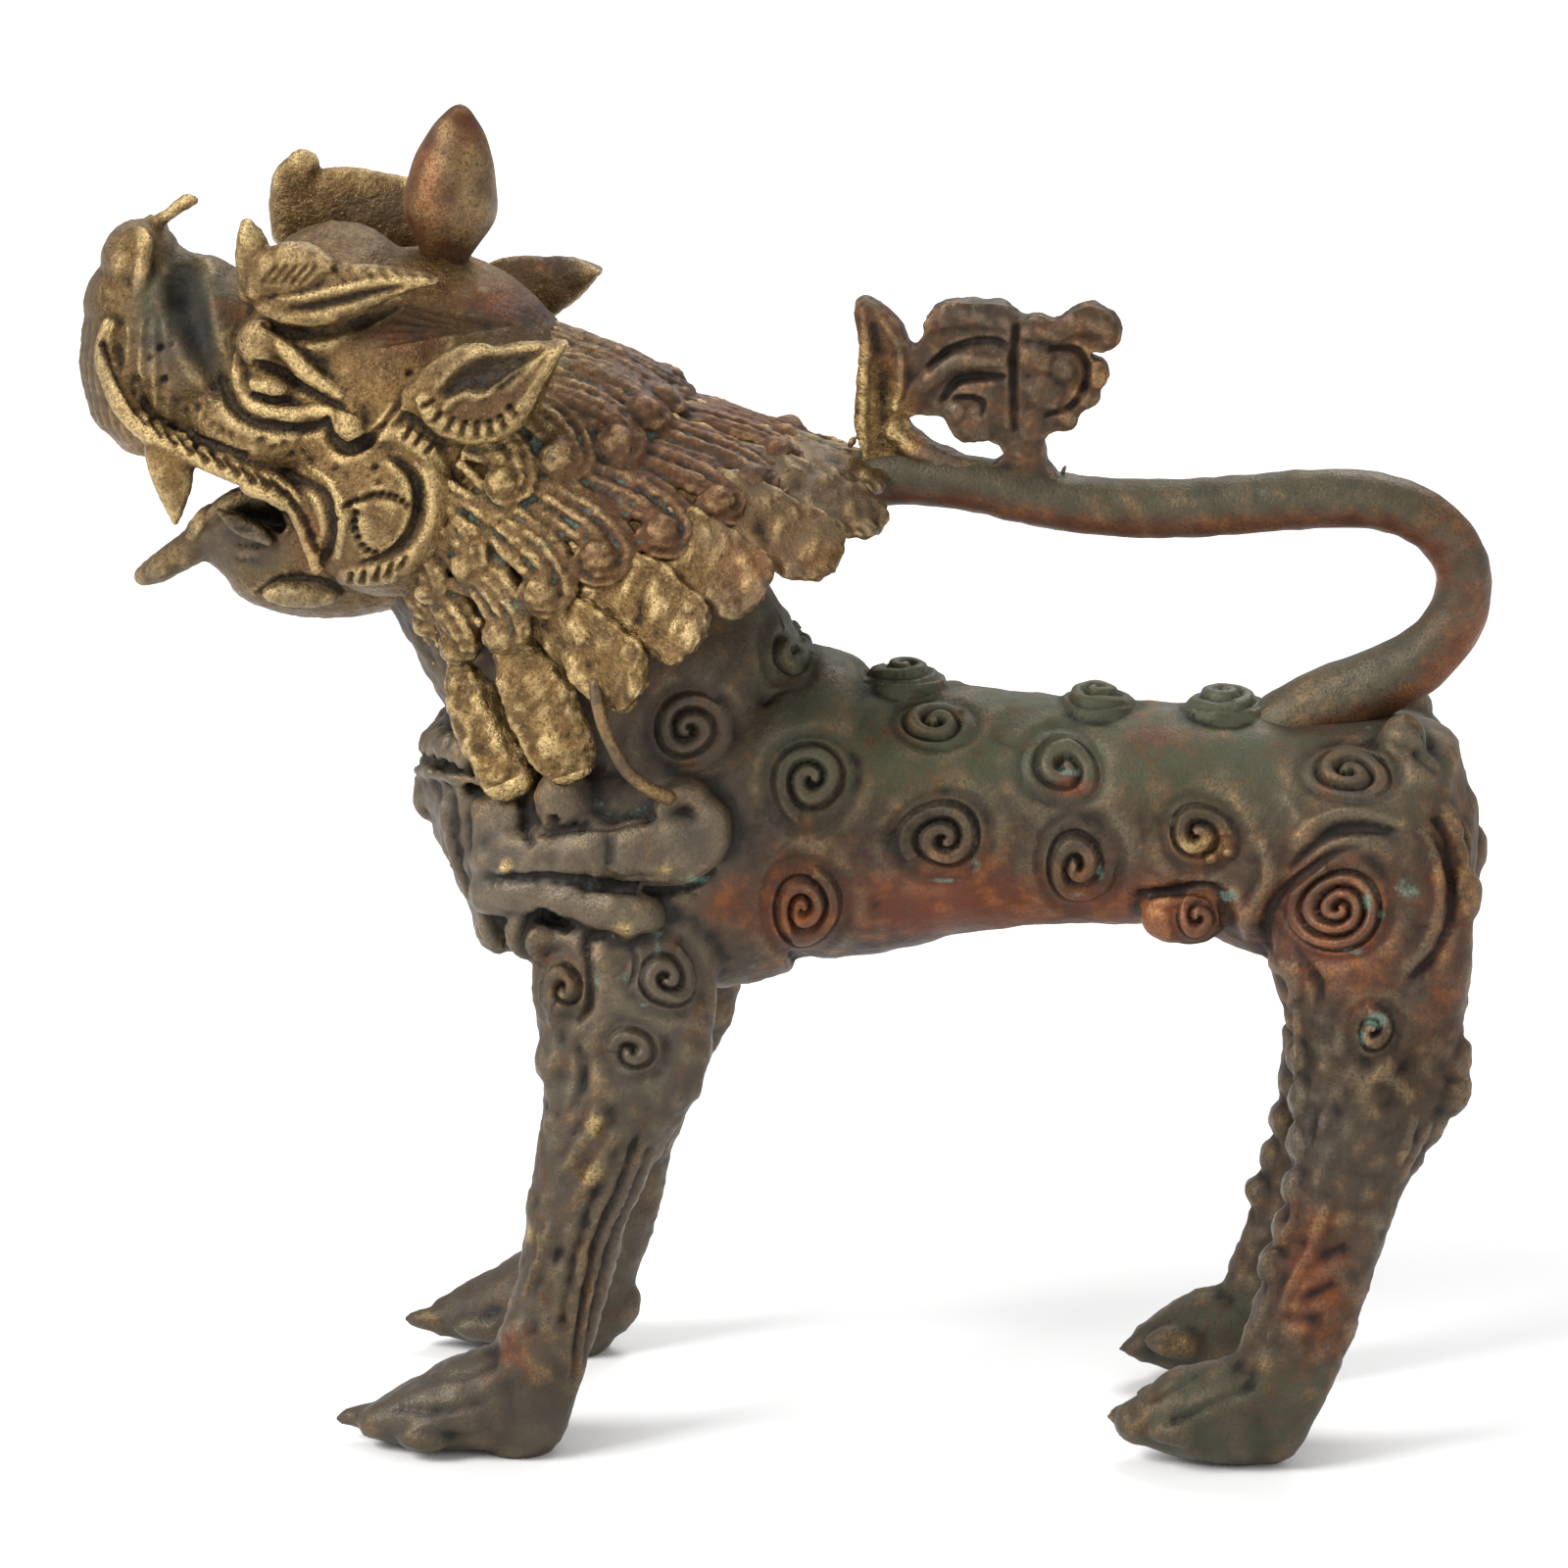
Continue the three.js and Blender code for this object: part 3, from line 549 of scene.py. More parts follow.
def foot(kind, side):
    """A foot: a wedge of ovals between its top and bottom lines, and toes that fan out to claws."""
    spec = FEET[kind]
    shift, rise = (value * (side > 0) for value in spec["right"])
    wedge = [[x + shift, side * spec["out"], (top + rise + low) / 2, (top + rise - low) / 2, wide]
             for x, top, low, wide in spec["wedge"]]
    shells = [tube(wedge, square=2.1)]
    middle = spec["wedge"][TOE_ROOT["row"]][0]
    for tip, spread, up in spec["toes"]:
        toe = []
        for share, high, wide in TOE:
            y = side * (spec["out"] + spread * (TOE_ROOT["spread"] + (1 - TOE_ROOT["spread"]) * share))
            z = spec["toe_height"] + TOE_ROOT["up"] * (1 - share) + (up + rise) * share
            toe.append([middle + (tip - middle) * share + shift, y, z, high, wide])
        shells.append(tube(toe))
    return shells


# The shoulder's lobes: thickness, and rows of across, up, out and half height.
LOBES = [
    [5.4, [[-31, 69, 12, 2.4], [-27, 69.3, 14.2, 3], [-23, 69.5, 15.6, 3.2], [-19, 70, 16.4, 3.5],
           [-17.4, 70.2, 16.4, 3.2], [-14, 70, 16.8, 3.9], [-10, 70.5, 16.8, 4.1], [-7.3, 72.3, 16.2, 3.4],
           [-6.3, 74.4, 15.8, 2.2], [-7.2, 76.2, 15.4, 1.3]]],
    [4.4, [[-12, 74.4, 15.4, 1.2], [-10.4, 76.4, 15.8, 1.5], [-8.6, 77, 15.8, 1.5], [-7, 76, 15.6, 1.3]]],
    [5.2, [[-31, 65, 12.4, 2.6], [-26, 65.2, 14.8, 2.4], [-22, 64.7, 16, 2.4], [-18.5, 63.7, 16.8, 2.7],
           [-15.2, 62.9, 17, 2.9], [-13.6, 62.8, 16.8, 2.2]]],
]
# Swellings under the coils: across, up, out, half width and half height.
BOSSES = [[-22.7, 75.8, 15.2, 3.5, 3.6], [-29.4, 73, 12, 3.6, 3.6], [-18, 57.6, 15.6, 3.2, 2.5],
          [-22.9, 53.9, 15.4, 3.1, 4.2], [-23.4, 45.8, 15.6, 2.8, 3.4], [-15.4, 46.9, 17.2, 3.5, 3.6],
          [-26.2, 60.4, 13.6, 3, 3.4]]
BOSS_THICK = 2.6
BELLY_ROLL = [46, 63.5, 10.6]
BELLY_ROLL_SIZE = [5, 3, 3.1]
# The necklace's petals, each an oval of one size that leans by so many degrees: across, up and out.
PETAL_SIZE = [0.95, 1.3, 2.0]
PETAL_LEAN = 32
NECK_PETALS = [[-37.7, 82.4, 1.6], [-37.4, 82.2, 4.4], [-36.8, 81.9, 7], [-35.9, 81.6, 9.2],
               [-34.7, 81.2, 11], [-33.3, 80.6, 12.4]]
# Cords of the breast ornament: across, up, out and radius.
RIBBONS = [
    [[-38.8, 78.8, 2, 0.7], [-37.4, 78.4, 7, 0.7], [-35, 78, 10, 0.7], [-31.5, 77.8, 12.4, 0.6]],
    [[-36, 76.5, 8.2, 0.7], [-35.6, 72, 8.8, 0.8], [-34.7, 68, 9, 0.7], [-33.4, 64.4, 9, 0.5]],
    [[-33.9, 76.5, 10, 0.8], [-33.5, 72, 10.4, 0.9], [-33, 68, 10.6, 0.9], [-32.2, 64, 10.6, 0.8],
     [-31.2, 60, 10.8, 0.9], [-30, 58.9, 10.6, 0.7]],
    [[-32.4, 75, 11.8, 0.9], [-32.2, 71, 12.4, 1.0], [-31.6, 67, 12.6, 0.9], [-30.8, 64.5, 12.8, 0.7]],
]
# Its pendants: place as x, out and z, half sizes and lean.
PENDANTS = [[[-40.1, 0.8, 72], [1.7, 2.6, 3.5], 5], [[-32.9, 5.2, 57.8], [1.7, 2.6, 3.7], -20]]
CHEST_TOP = [[-31.4, 0, 79.1], [7.7, 11.9, 4]]
# Hair lumps on the legs' edges and the rump: x, z, out and radius. Each is wide, a little tall, and leans.
LUMP_WIDE = 3.4
LUMP_TALL = 1.15
LUMP_LEAN = 14
LUMPS = {
    "fore": [[-23.1, 51.4, 15.4, 2.1], [-23.4, 46, 15.4, 2.2], [-23.5, 38.6, 16, 2.1], [-24.1, 32, 16.6, 2],
             [-25.1, 26, 17, 1.8], [-26.6, 21.4, 17, 1.7]],
    "hind": [[58.8, 52, 10.6, 2], [59.2, 47.4, 11.4, 2.1], [59.6, 42.6, 12.2, 2], [59.4, 37.4, 12.6, 2],
             [58.9, 32.4, 13, 1.9], [57.8, 27.6, 13.4, 1.9], [56.2, 23.4, 13.4, 1.8],
             [69.4, 82.4, 7.4, 2.8], [71.1, 78.4, 8.4, 2.8], [72.4, 72.4, 9, 3.7], [75.4, 65.4, 9.8, 3.4],
             [75.2, 60.4, 10.2, 2.6], [75, 56.8, 10.6, 2.2], [75.4, 47.2, 11, 2.6], [75.7, 43.6, 11.2, 2.4],
             [73.4, 45.6, 11.2, 3.6], [72.6, 40.4, 11.6, 3], [70.4, 36.4, 12, 2.6]],
}


def midline(rows):
    """Rows of x, z, half height and half width set in the middle plane."""
    return [[x, 0, z, high, wide] for x, z, high, wide in rows]


def lumps_at(kind, side):
    """Hair lumps along the edges of a leg: ovals, shifted on the right by the share of the way down it."""
    shells = []
    for x, z, out, r in LUMPS[kind]:
        share = np.clip((FORELEG[0][2] - z) / RIGHT_SHIFT["below"], 0, 1)
        place = [x + (side > 0) * RIGHT_SHIFT[kind] * share, side * out, z]
        shells.append(ball(place, [r, LUMP_WIDE, r * LUMP_TALL], LUMP_LEAN, rings=12, sides=18))
    return shells


def body_shells():
    """Trunk, neck, legs, feet, shoulder lobes, necklace, ribbons, pendants and hair lumps."""
    trunk = tube(midline(TRUNK), count=70, sides=48, square=2.1, blunt=0.2)
    shells = [trunk, tube(midline(NECK), count=30, sides=48), ball(*CHEST_TOP)]
    for side in SIDES:
        shells.append(leg(FORELEG, side, RIGHT_SHIFT["fore"]))
        shells.append(leg(HINDLEG, side, RIGHT_SHIFT["hind"]))
        shells += foot("fore", side) + foot("hind", side)
        shells += lumps_at("fore", side) + lumps_at("hind", side)
        shells += [seen_leaf(rows, side, thick, CHEST_PLANE, square=2.2) for thick, rows in LOBES]
        for *place, wide, high in BOSSES:
            shells.append(seen_ball(place, side, [wide, BOSS_THICK, high], plane=CHEST_PLANE))
        shells += [seen_rope(rows, side, CHEST_PLANE) for rows in RIBBONS]
        shells += [seen_ball(row, side, PETAL_SIZE, PETAL_LEAN, CHEST_PLANE) for row in NECK_PETALS]
        shells += [ball([x, side * out, z], sizes, lean) for (x, out, z), sizes, lean in PENDANTS]
        shells.append(seen_ball(BELLY_ROLL, side, BELLY_ROLL_SIZE, plane=THIGH_PLANE))
    shells += [ball([x, 0, z], RIDGE_DISC) for x, z in RIDGE_COILS]
    return shells


# Coils by depth plane: across, up, radius, height over width, turns, hand and where the spiral starts.
COILS = {
    TRUNK_PLANE: [[4.3, 77.9, 4.5, 1.2, 1.8, 1, 0.9], [18.4, 84.7, 4.0, 0.68, 1.6, -1, 0.3],
                  [32.4, 79.8, 4.2, 1.0, 1.4, -1, 0.75], [19.2, 71.5, 4.9, 0.98, 1.9, 1, 0.7],
                  [34, 68.9, 4.4, 1.08, 1.7, 1, 0.3], [3.4, 63.2, 4.4, 1.1, 2.2, 1, 0.0],
                  [-9.4, 83.3, 4.4, 1.0, 1.7, -1, 0.2], [1.8, 92.6, 2.6, 1.5, 1.2, 1, 0.1]],
    THIGH_PLANE: [[47.3, 73, 3.7, 1.1, 1.4, -1, 0.6], [47.4, 63.5, 2.9, 1.0, 1.4, -1, 0.4],
                  [64, 80.4, 4.9, 0.62, 1.7, -1, 0.45], [63.1, 65, 5.7, 1.0, 2.9, -1, 0.8],
                  [67, 51.1, 2.6, 1.15, 1.2, 1, 0.1]],
    CHEST_PLANE: [[-11.4, 55.6, 4.1, 1.0, 1.6, 1, 0.6], [-15.3, 47, 3.1, 1.05, 1.1, 1, 0.4],
                  [-22.9, 54, 2.7, 1.35, 1.1, 1, 0.55]],
}
COIL_HEIGHT = 1.0
# Coils lying on discs along the back: x and z of each, and what they share.
RIDGE_COILS = [[13.5, 86.2], [35.1, 84], [49.4, 84.2]]
RIDGE_DISC = [4.8, 4.6, 1.5]
RIDGE_RADIUS = 4.3
RIDGE_FLOOR = 75
RIDGE_COIL = {"turns": 1.6, "high": 0.7, "squash": 0.9}
# The least share of a normal to the side where coils are drawn.
FACES_SIDE = 0.1
# Folds, hair lines and wrinkles by depth plane: across, up, half width and height, below 0 where cut in.
FOLDS = {
    TRUNK_PLANE: [
        [[24.4, 83.2, 0.3, -0.25], [27, 82.4, 0.3, -0.3], [29.5, 82.8, 0.3, -0.2]],
        [[-0.8, 86.5, 0.5, -0.4], [1.2, 88, 0.5, -0.4], [4, 88.6, 0.4, -0.3]],
        [[11, 64.4, 0.5, -0.25], [11.6, 63.4, 0.7, -0.4], [12, 62.6, 0.4, -0.2]],
    ],
    THIGH_PLANE: [
        [[57.6, 69.4, 0.5, -0.5], [61.4, 73.2, 0.9, -1.0], [64.8, 74.3, 1.0, -1.1],
         [69.2, 73.8, 0.5, -0.5]],
        [[65.5, 72.2, 0.4, -0.5], [62.6, 71.4, 0.6, -0.8], [59.6, 69.2, 0.7, -0.9], [56.6, 66.4, 0.7, -0.9],
         [54.9, 63, 0.6, -0.7], [55.4, 60.4, 0.4, -0.4]],
        [[73.9, 72.5, 0.4, -0.4], [75.3, 69, 0.5, -0.6], [75.6, 65.6, 0.5, -0.6], [74.6, 61.8, 0.5, -0.6],
         [73.2, 59.2, 0.6, -0.7], [71.2, 57.4, 0.4, -0.5]],
        [[72.2, 74.2, 0.4, 0.4], [73.6, 70.4, 0.6, 0.6], [74, 66, 0.6, 0.6], [72.8, 61.4, 0.5, 0.5],
         [70.4, 58.4, 0.4, 0.3]],
        [[58.6, 59.4, 0.5, -0.5], [60.6, 56.8, 0.6, -0.8], [61, 54.2, 0.4, -0.5]],
        [[54.6, 71.8, 0.7, 0.5], [55.2, 68.4, 0.9, 0.7], [53.4, 64.6, 0.8, 0.6], [52.8, 61.4, 0.5, 0.3]],
        [[58, 72.6, 0.6, 0.4], [61, 75.4, 0.7, 0.6], [65, 76.2, 0.7, 0.6], [69.6, 75, 0.5, 0.3]],
        [[41, 66, 0.5, -0.6], [44.6, 66.4, 0.6, -0.8], [48.2, 67.1, 0.6, -0.8], [50, 65.8, 0.6, -0.7],
         [50.4, 62.6, 0.5, -0.5]],
        [[41.4, 64.8, 0.5, 0.4], [45, 65.3, 0.7, 0.7], [48, 65, 0.7, 0.7], [48.8, 62.6, 0.6, 0.5]],
        [[51.4, 66.6, 0.6, 0.5], [52.4, 64.6, 0.7, 0.5], [52.6, 62.4, 0.5, 0.4]],
        [[55.4, 58.6, 0.8, 0.5], [57.4, 57.8, 1.0, 0.7], [58.4, 55.6, 0.8, 0.6], [57.8, 54, 0.5, 0.3]],
        [[66, 84.4, 0.4, -0.3], [70, 83.4, 0.5, -0.5], [73.4, 81, 0.5, -0.5]],
        [[57, 77.6, 0.5, 0.3], [58.2, 75.6, 0.6, 0.3], [58.8, 74, 0.4, 0.2]],
        [[74.6, 77, 0.6, 0.6], [76.4, 74, 0.8, 0.8], [76.9, 70.6, 0.7, 0.7], [76.4, 67.6, 0.5, 0.4]],
        [[73.4, 75.6, 0.4, -0.5], [75, 72.6, 0.5, -0.7], [75.2, 69, 0.5, -0.6]],
        [[69, 88, 0.5, -0.5], [71.6, 86, 0.5, -0.6], [72.8, 83.6, 0.5, -0.5]],
        [[58.6, 53.6, 0.35, 0.45], [58.6, 47, 0.35, 0.45], [59.2, 43.4, 0.35, 0.4],
         [58.6, 40.6, 0.35, 0.45], [59.1, 36.6, 0.35, 0.45], [58.3, 32.6, 0.35, 0.4],
         [58.1, 28.6, 0.35, 0.4], [55.8, 24, 0.35, 0.4], [54.2, 20, 0.3, 0.3]],
        [[73.6, 40.8, 0.5, 0.4], [72, 37.6, 0.5, 0.5], [70.6, 34.4, 0.4, 0.3]],
        [[71.8, 41.4, 0.4, 0.4], [71, 38.4, 0.5, 0.5], [70, 35.6, 0.4, 0.3]],
        [[67.6, 46.2, 0.6, 0.4], [70, 45.2, 0.7, 0.5], [71.2, 42.8, 0.5, 0.3]],
        [[60.8, 41.4, 0.7, -0.4], [60.5, 39.6, 0.6, -0.5], [60.2, 38.2, 0.4, -0.3]],
        [[62.4, 30.6, 0.6, 0.4], [60.6, 26, 0.7, 0.4], [58.6, 21.6, 0.6, 0.4], [57, 18, 0.4, 0.2]],
        [[64, 25.4, 0.8, -0.4], [62, 24.4, 0.9, -0.5]], [[63, 21, 0.8, -0.4], [60.6, 20, 0.9, -0.5]],
        [[61.6, 17.4, 0.7, -0.3], [58, 17.2, 0.9, -0.4]],
        [[53, 16.8, 0.4, 0.35], [48, 14, 0.4, 0.35], [44, 10.6, 0.4, 0.3], [41, 8, 0.3, 0.2]],
        [[52, 13, 0.6, -0.3], [47, 10, 0.6, -0.35], [43, 7, 0.4, -0.3]],
        [[54, 9, 0.6, -0.25], [49, 6.4, 0.6, -0.3], [44.6, 4.2, 0.4, -0.25]],
    ],
    CHEST_PLANE: [
        [[-30, 66.7, 0.5, -0.6], [-24, 66.8, 0.6, -0.8], [-18, 66, 0.7, -1.0], [-12, 65.7, 0.7, -1.0],
         [-9, 66.2, 0.6, -0.9], [-6.2, 67.8, 0.5, -0.6]],
        [[-24.8, 72, 0.5, -0.6], [-20, 72.9, 0.6, -0.9], [-17, 73.2, 0.6, -0.8], [-13, 74.2, 0.6, -0.8]],
        [[-17.7, 72, 0.5, -0.5], [-17.4, 69.6, 0.4, -0.45], [-18, 67.4, 0.4, -0.4]],
        [[-17.8, 67.4, 0.3, -0.3], [-15.6, 66.9, 0.3, -0.3], [-13, 67, 0.3, -0.2]],
        [[-22.6, 61.2, 0.7, -1.0], [-25, 62.2, 0.9, -1.5], [-27.4, 61, 1.0, -1.5], [-28, 58.8, 0.8, -1.2],
         [-26.8, 57, 0.6, -0.8]],
        [[-27.4, 75.8, 0.4, -0.7], [-27, 72.4, 0.5, -0.8], [-26.4, 70.8, 0.4, -0.5]],
        [[-18.6, 60.2, 0.6, -0.8], [-20.4, 59.8, 0.6, -0.9], [-20.2, 56, 0.5, -0.8], [-20, 52.6, 0.6, -1.0],
         [-21.2, 50.4, 0.5, -0.7]],
        [[-15.2, 59.4, 0.5, -0.5], [-14.8, 56.4, 0.5, -0.6], [-15.6, 54.4, 0.4, -0.5]],
    ],
    LEG_PLANE: [
        [[-14.5, 37.5, 0.4, -0.4], [-16.5, 31.5, 0.5, -0.7], [-19.4, 24.2, 0.5, -0.7],
         [-21.3, 13.4, 0.5, -0.6], [-22, 9, 0.3, -0.3]],
        [[-13.2, 36, 0.4, -0.4], [-15.3, 30, 0.45, -0.6], [-17.8, 24, 0.45, -0.6], [-19.9, 14, 0.4, -0.5],
         [-20.8, 9.5, 0.3, -0.3]],
        [[-18.6, 31.6, 0.4, -0.3], [-20.4, 28, 0.5, -0.5], [-22, 21.6, 0.5, -0.5], [-23.2, 15, 0.4, -0.3]],
        [[-24.8, 25.6, 0.4, 0.4], [-26, 21.6, 0.45, 0.5], [-27.6, 18, 0.4, 0.4]],
        [[-21.4, 48.6, 0.5, -0.5], [-20.6, 45, 0.6, -0.6], [-21, 42, 0.5, -0.5], [-22.4, 39.6, 0.4, -0.3]],
        [[-19, 40.4, 0.7, 0.5], [-20.6, 37, 0.8, 0.5], [-22.6, 33.4, 0.6, 0.3]],
        [[-17, 37.4, 0.6, 0.4], [-19, 33.6, 0.8, 0.5], [-21.2, 30.6, 0.6, 0.3]],
        [[-40.4, 8, 0.5, -0.35], [-36, 8.2, 0.7, -0.3], [-31.5, 9.6, 0.6, -0.2]],
        [[-42, 4.4, 0.5, -0.4], [-37, 4.2, 0.8, -0.4], [-32, 5.4, 0.7, -0.3]],
        [[-39.6, 1.6, 0.4, -0.35], [-35.6, 1.2, 0.6, -0.35], [-32, 2.2, 0.5, -0.2]],
    ],
}
# Small knobs and pits by depth plane: across, up, radius and height.
KNOBS = {
    CHEST_PLANE: [[-23.9, 73.3, 0.7, -1.2], [-29.6, 67.6, 0.8, 0.5], [-11.2, 68.8, 0.5, 0.4],
                  [-17.6, 67.9, 0.45, 0.35], [-15.8, 62.8, 0.7, 0.4]],
    LEG_PLANE: [[-18.7, 39.3, 0.8, 0.5], [-17.4, 41.6, 0.7, 0.4], [-18.6, 34.2, 0.7, 0.4],
                [-20.3, 26.9, 0.7, -0.6], [-23.6, 23, 0.7, -0.4], [-23, 21.4, 0.7, 0.5],
                [-25, 25.4, 0.9, 0.4], [-22, 25.8, 1.0, 0.5], [-28.6, 14.4, 1.2, 0.3]],
    THIGH_PLANE: [[44.8, 74.3, 0.7, 0.5], [46.2, 72.4, 0.8, 0.6], [47.2, 71, 0.8, 0.6],
                  [48.9, 70.3, 0.8, 0.6], [50.8, 71, 0.7, 0.6]],
}
BODY_GRAIN = [[0.10, 6, 1], [0.04, 2.4, 2]]
COARSE_GRAIN = [[0.13, 3.6, 3], [0.06, 1.5, 4]]


def body_relief(points, normals, side):
    """Coils, folds and knobs of one side, each read in its own depth plane."""
    height = np.zeros((len(points), 2))
    for plane in sorted({*COILS, *FOLDS}):
        relief = side_relief(points, normals, side, plane)
        for across, up, radius, squash, turns, hand, start in COILS.get(plane, []):
            relief.coil(across, up, radius, turns, hand, COIL_HEIGHT, start, squash)
        for rows in FOLDS.get(plane, []):
            relief.stroke(rows, edge=0.7)
        for row in KNOBS.get(plane, []):
            relief.dome(*row)
        height += relief.height()
    return height


def coil_zone(points, normals, margin):
    """Where the skin needs finer triangles: within each coil's radius and a margin."""
    zone = np.zeros(len(points), bool)
    for plane, rows in COILS.items():
        across, up = to_view(points, plane)
        for x, z, radius, squash, *_ in rows:
            zone |= np.hypot(across - x, (up - z) / squash) < radius + margin
    zone &= np.abs(normals[:, 1]) > FACES_SIDE
    for x, _ in RIDGE_COILS:
        near = np.hypot(points[:, 0] - x, points[:, 1]) < RIDGE_RADIUS + margin
        zone |= near & (points[:, 2] > RIDGE_FLOOR)
    return zone


def cast_body():
    """The body's skin with its coils, hair lines and grain, which is coarser on chest and legs."""
    points, faces = fused(body_shells(), grain_size=0.5, rounds=3)
    for margin in (1.0, 0.5):
        points, faces = refined(points, faces, coil_zone(points, normals_of(points, faces), margin))
    normals = normals_of(points, faces)
    relief = sum(body_relief(points, normals, side) for side in SIDES)
    top = smooth_step(0.5, 0.8, normals[:, 2]) * (points[:, 2] > RIDGE_FLOOR)
    ridge = Relief(points[:, 0], points[:, 1], top)
    for k, (x, _) in enumerate(RIDGE_COILS):
        ridge.coil(x, 0, RIDGE_RADIUS, hand=1 if k % 2 else -1, start=0.3 * k, **RIDGE_COIL)
    relief += ridge.height()
    coarse = smooth_step(60, 48, points[:, 2]) + smooth_step(-4, -20, points[:, 0])
    coarse = np.minimum(coarse, 0.3 + 0.7 * smooth_step(6, 16, points[:, 2]))
    rough = grain(points, BODY_GRAIN) + coarse * grain(points, COARSE_GRAIN)
    points = points + normals * (relief.sum(1) + rough)[:, None]
    points[:, 2] = np.maximum(points[:, 2], 0)
    return points, faces, relief


# Head

# Balls: centre as x, out and z, and half sizes. Those with a distance out stand on both sides.
SKULL = [[[-41, 0, 115], [19, 15.6, 19]], [[-50, 0, 126], [10, 12.4, 10.7]]]
SNOUT = [[-65, 0, 121.8], [13.2, 10, 10], 8]
NOSE = [[[-72.1, 0, 132.1], [4.4, 6.6, 4.6]], [[-70.3, 0, 127], [8.2, 8.4, 7]],
        [[-66.6, 0, 127.4], [7, 7, 5.6]]]
UPPER_JAW = [[-56.5, 6.6, 115.4], [10, 6.4, 6.6]]
SOCKET = [[-54.5, 6.5, 122.6], [6.6, 5.4, 6.4]]
CHEEK = [[-43, 8.5, 108], [11, 9, 11.5]]
# Bars of the middle line: x, z, half height and half width.
JAW = [[-42, 102, 8, 11], [-50, 99.9, 7.9, 9.6], [-57, 99.7, 7.3, 7.2], [-61.5, 100.6, 5.4, 5.2],
       [-64.6, 100.7, 3, 3.4]]
TONGUE = [[-58, 103, 2.6, 3.4], [-64, 101, 2.3, 3.3], [-67.8, 98.7, 1.9, 3], [-70.8, 96.8, 1.6, 2.5],
          [-72.4, 95.9, 1.1, 1.6]]
# Ridges read from the picture: across, up, out, and half height or radius.
INNER_TONGUE = [[-61.2, 106.3, 6.6, 0.4], [-59.6, 105.3, 7.2, 1.1], [-57.6, 104.2, 7.4, 1.1],
                [-56, 103.2, 7.4, 0.6]]
LIP_BAND = [[-73.4, 127.4, 7.2, 0.9], [-74, 124.7, 7.8, 1.15], [-73.6, 122.3, 8.5, 1.25],
            [-72.9, 120, 9.2, 1.3], [-71.5, 117.5, 9.8, 1.3], [-69.2, 115.4, 10.3, 1.3],
            [-66.1, 113.7, 10.7, 1.3], [-62.6, 112.3, 11.2, 1.3], [-58.8, 110.8, 11.9, 1.3],
            [-55.4, 109.5, 12.5, 1.35], [-53, 107.7, 12.9, 1.4], [-51.7, 105.2, 13.1, 1.35],
            [-50.9, 102.6, 12.9, 1.2], [-50.7, 100.8, 12.2, 0.8]]
WING = [[-69.9, 137.5, 3.4, 0.9], [-69.5, 136.2, 4.8, 1.1], [-69.7, 134, 6, 1.1], [-70.1, 131.6, 6.7, 1.0],
        [-70.6, 129.1, 7.2, 0.9], [-71.6, 127, 7.6, 0.7]]
LOWER_LID = [[-58.9, 125.2, 10, 0.5], [-59.3, 122.8, 10.3, 0.8], [-58.9, 120.6, 10.7, 0.95],
             [-57.7, 118.9, 11.4, 1.0], [-55.8, 117.9, 12, 1.0], [-53.4, 117.6, 12.5, 0.95],
             [-50.9, 118, 13, 0.9], [-49, 118, 13.5, 1.0], [-47.9, 116.8, 14, 1.1]]
UPPER_LID = [[-55.8, 126.2, 11.6, 0.9], [-53.5, 124.5, 12, 1.15], [-51.1, 122.1, 12.6, 1.15],
             [-48.7, 120.6, 13, 1.0], [-46.2, 119.1, 13.8, 0.8], [-44.1, 118.1, 14.4, 0.4]]
BROW_UPRIGHT = [[-57.8, 131.4, 12, 1.2], [-57.3, 133.5, 12.4, 1.9], [-57.4, 135.8, 12.6, 1.9],
                [-57.8, 137.7, 12.6, 1.4], [-58, 138.7, 12.6, 0.8]]
BROW_LOBE = [[-57, 131.8, 12.6, 1.3], [-55.2, 133.5, 13.2, 2.7], [-52.6, 134.2, 13.6, 2.9],
             [-50.6, 134.5, 13.4, 2.3], [-49.4, 134.6, 13, 1.2]]
BROW_LEAF = [[-56.2, 130, 12.2, 1.0], [-53.6, 129.8, 12.9, 2.1], [-50.5, 130.5, 13.3, 3.0],
             [-47, 131.7, 13.5, 2.9], [-43.4, 132.6, 13.5, 2.1], [-40, 133, 13.6, 1.2],
             [-37.2, 132.9, 13.6, 0.3]]
# The right brow, which shows above the left one, read at its own distance out.
FAR_OUT = -11.8
FAR_UPRIGHT = [[-57.4, 133.2, FAR_OUT, 1.8], [-56.9, 136.2, FAR_OUT, 2.6], [-56.3, 139, FAR_OUT, 2.8],
               [-55.6, 140.9, FAR_OUT, 1.9]]
FAR_BODY = [[-56.2, 135.4, FAR_OUT, 3.4], [-52.4, 136.3, FAR_OUT, 4.4], [-48.6, 136.1, FAR_OUT, 4.5],
            [-44.6, 135.3, FAR_OUT, 4.5], [-40, 134.6, FAR_OUT, 3.6]]
EAR = [[-38.8, 120.6, 15.4, 1.8], [-37, 120.8, 16.2, 3.6], [-33.8, 121.3, 17, 5.2], [-30.6, 122, 17.6, 5.3],
       [-28.2, 123, 18, 4.5], [-26, 124.8, 18.2, 3], [-24, 126.2, 18.3, 1.4], [-22.4, 127.1, 18.3, 0.4]]
FAR_EAR = [[-36, 124.6, -15.4, 3.4], [-33.4, 125.3, -16, 4.6], [-30.4, 126.2, -16.6, 4.2],
           [-27.6, 127.1, -17, 3.3], [-25.2, 128, -17.3, 2.3], [-23.5, 128.5, -17.4, 1.2],
           [-22.6, 128.6, -17.4, 0.4]]
EAR_HALF = 1.9
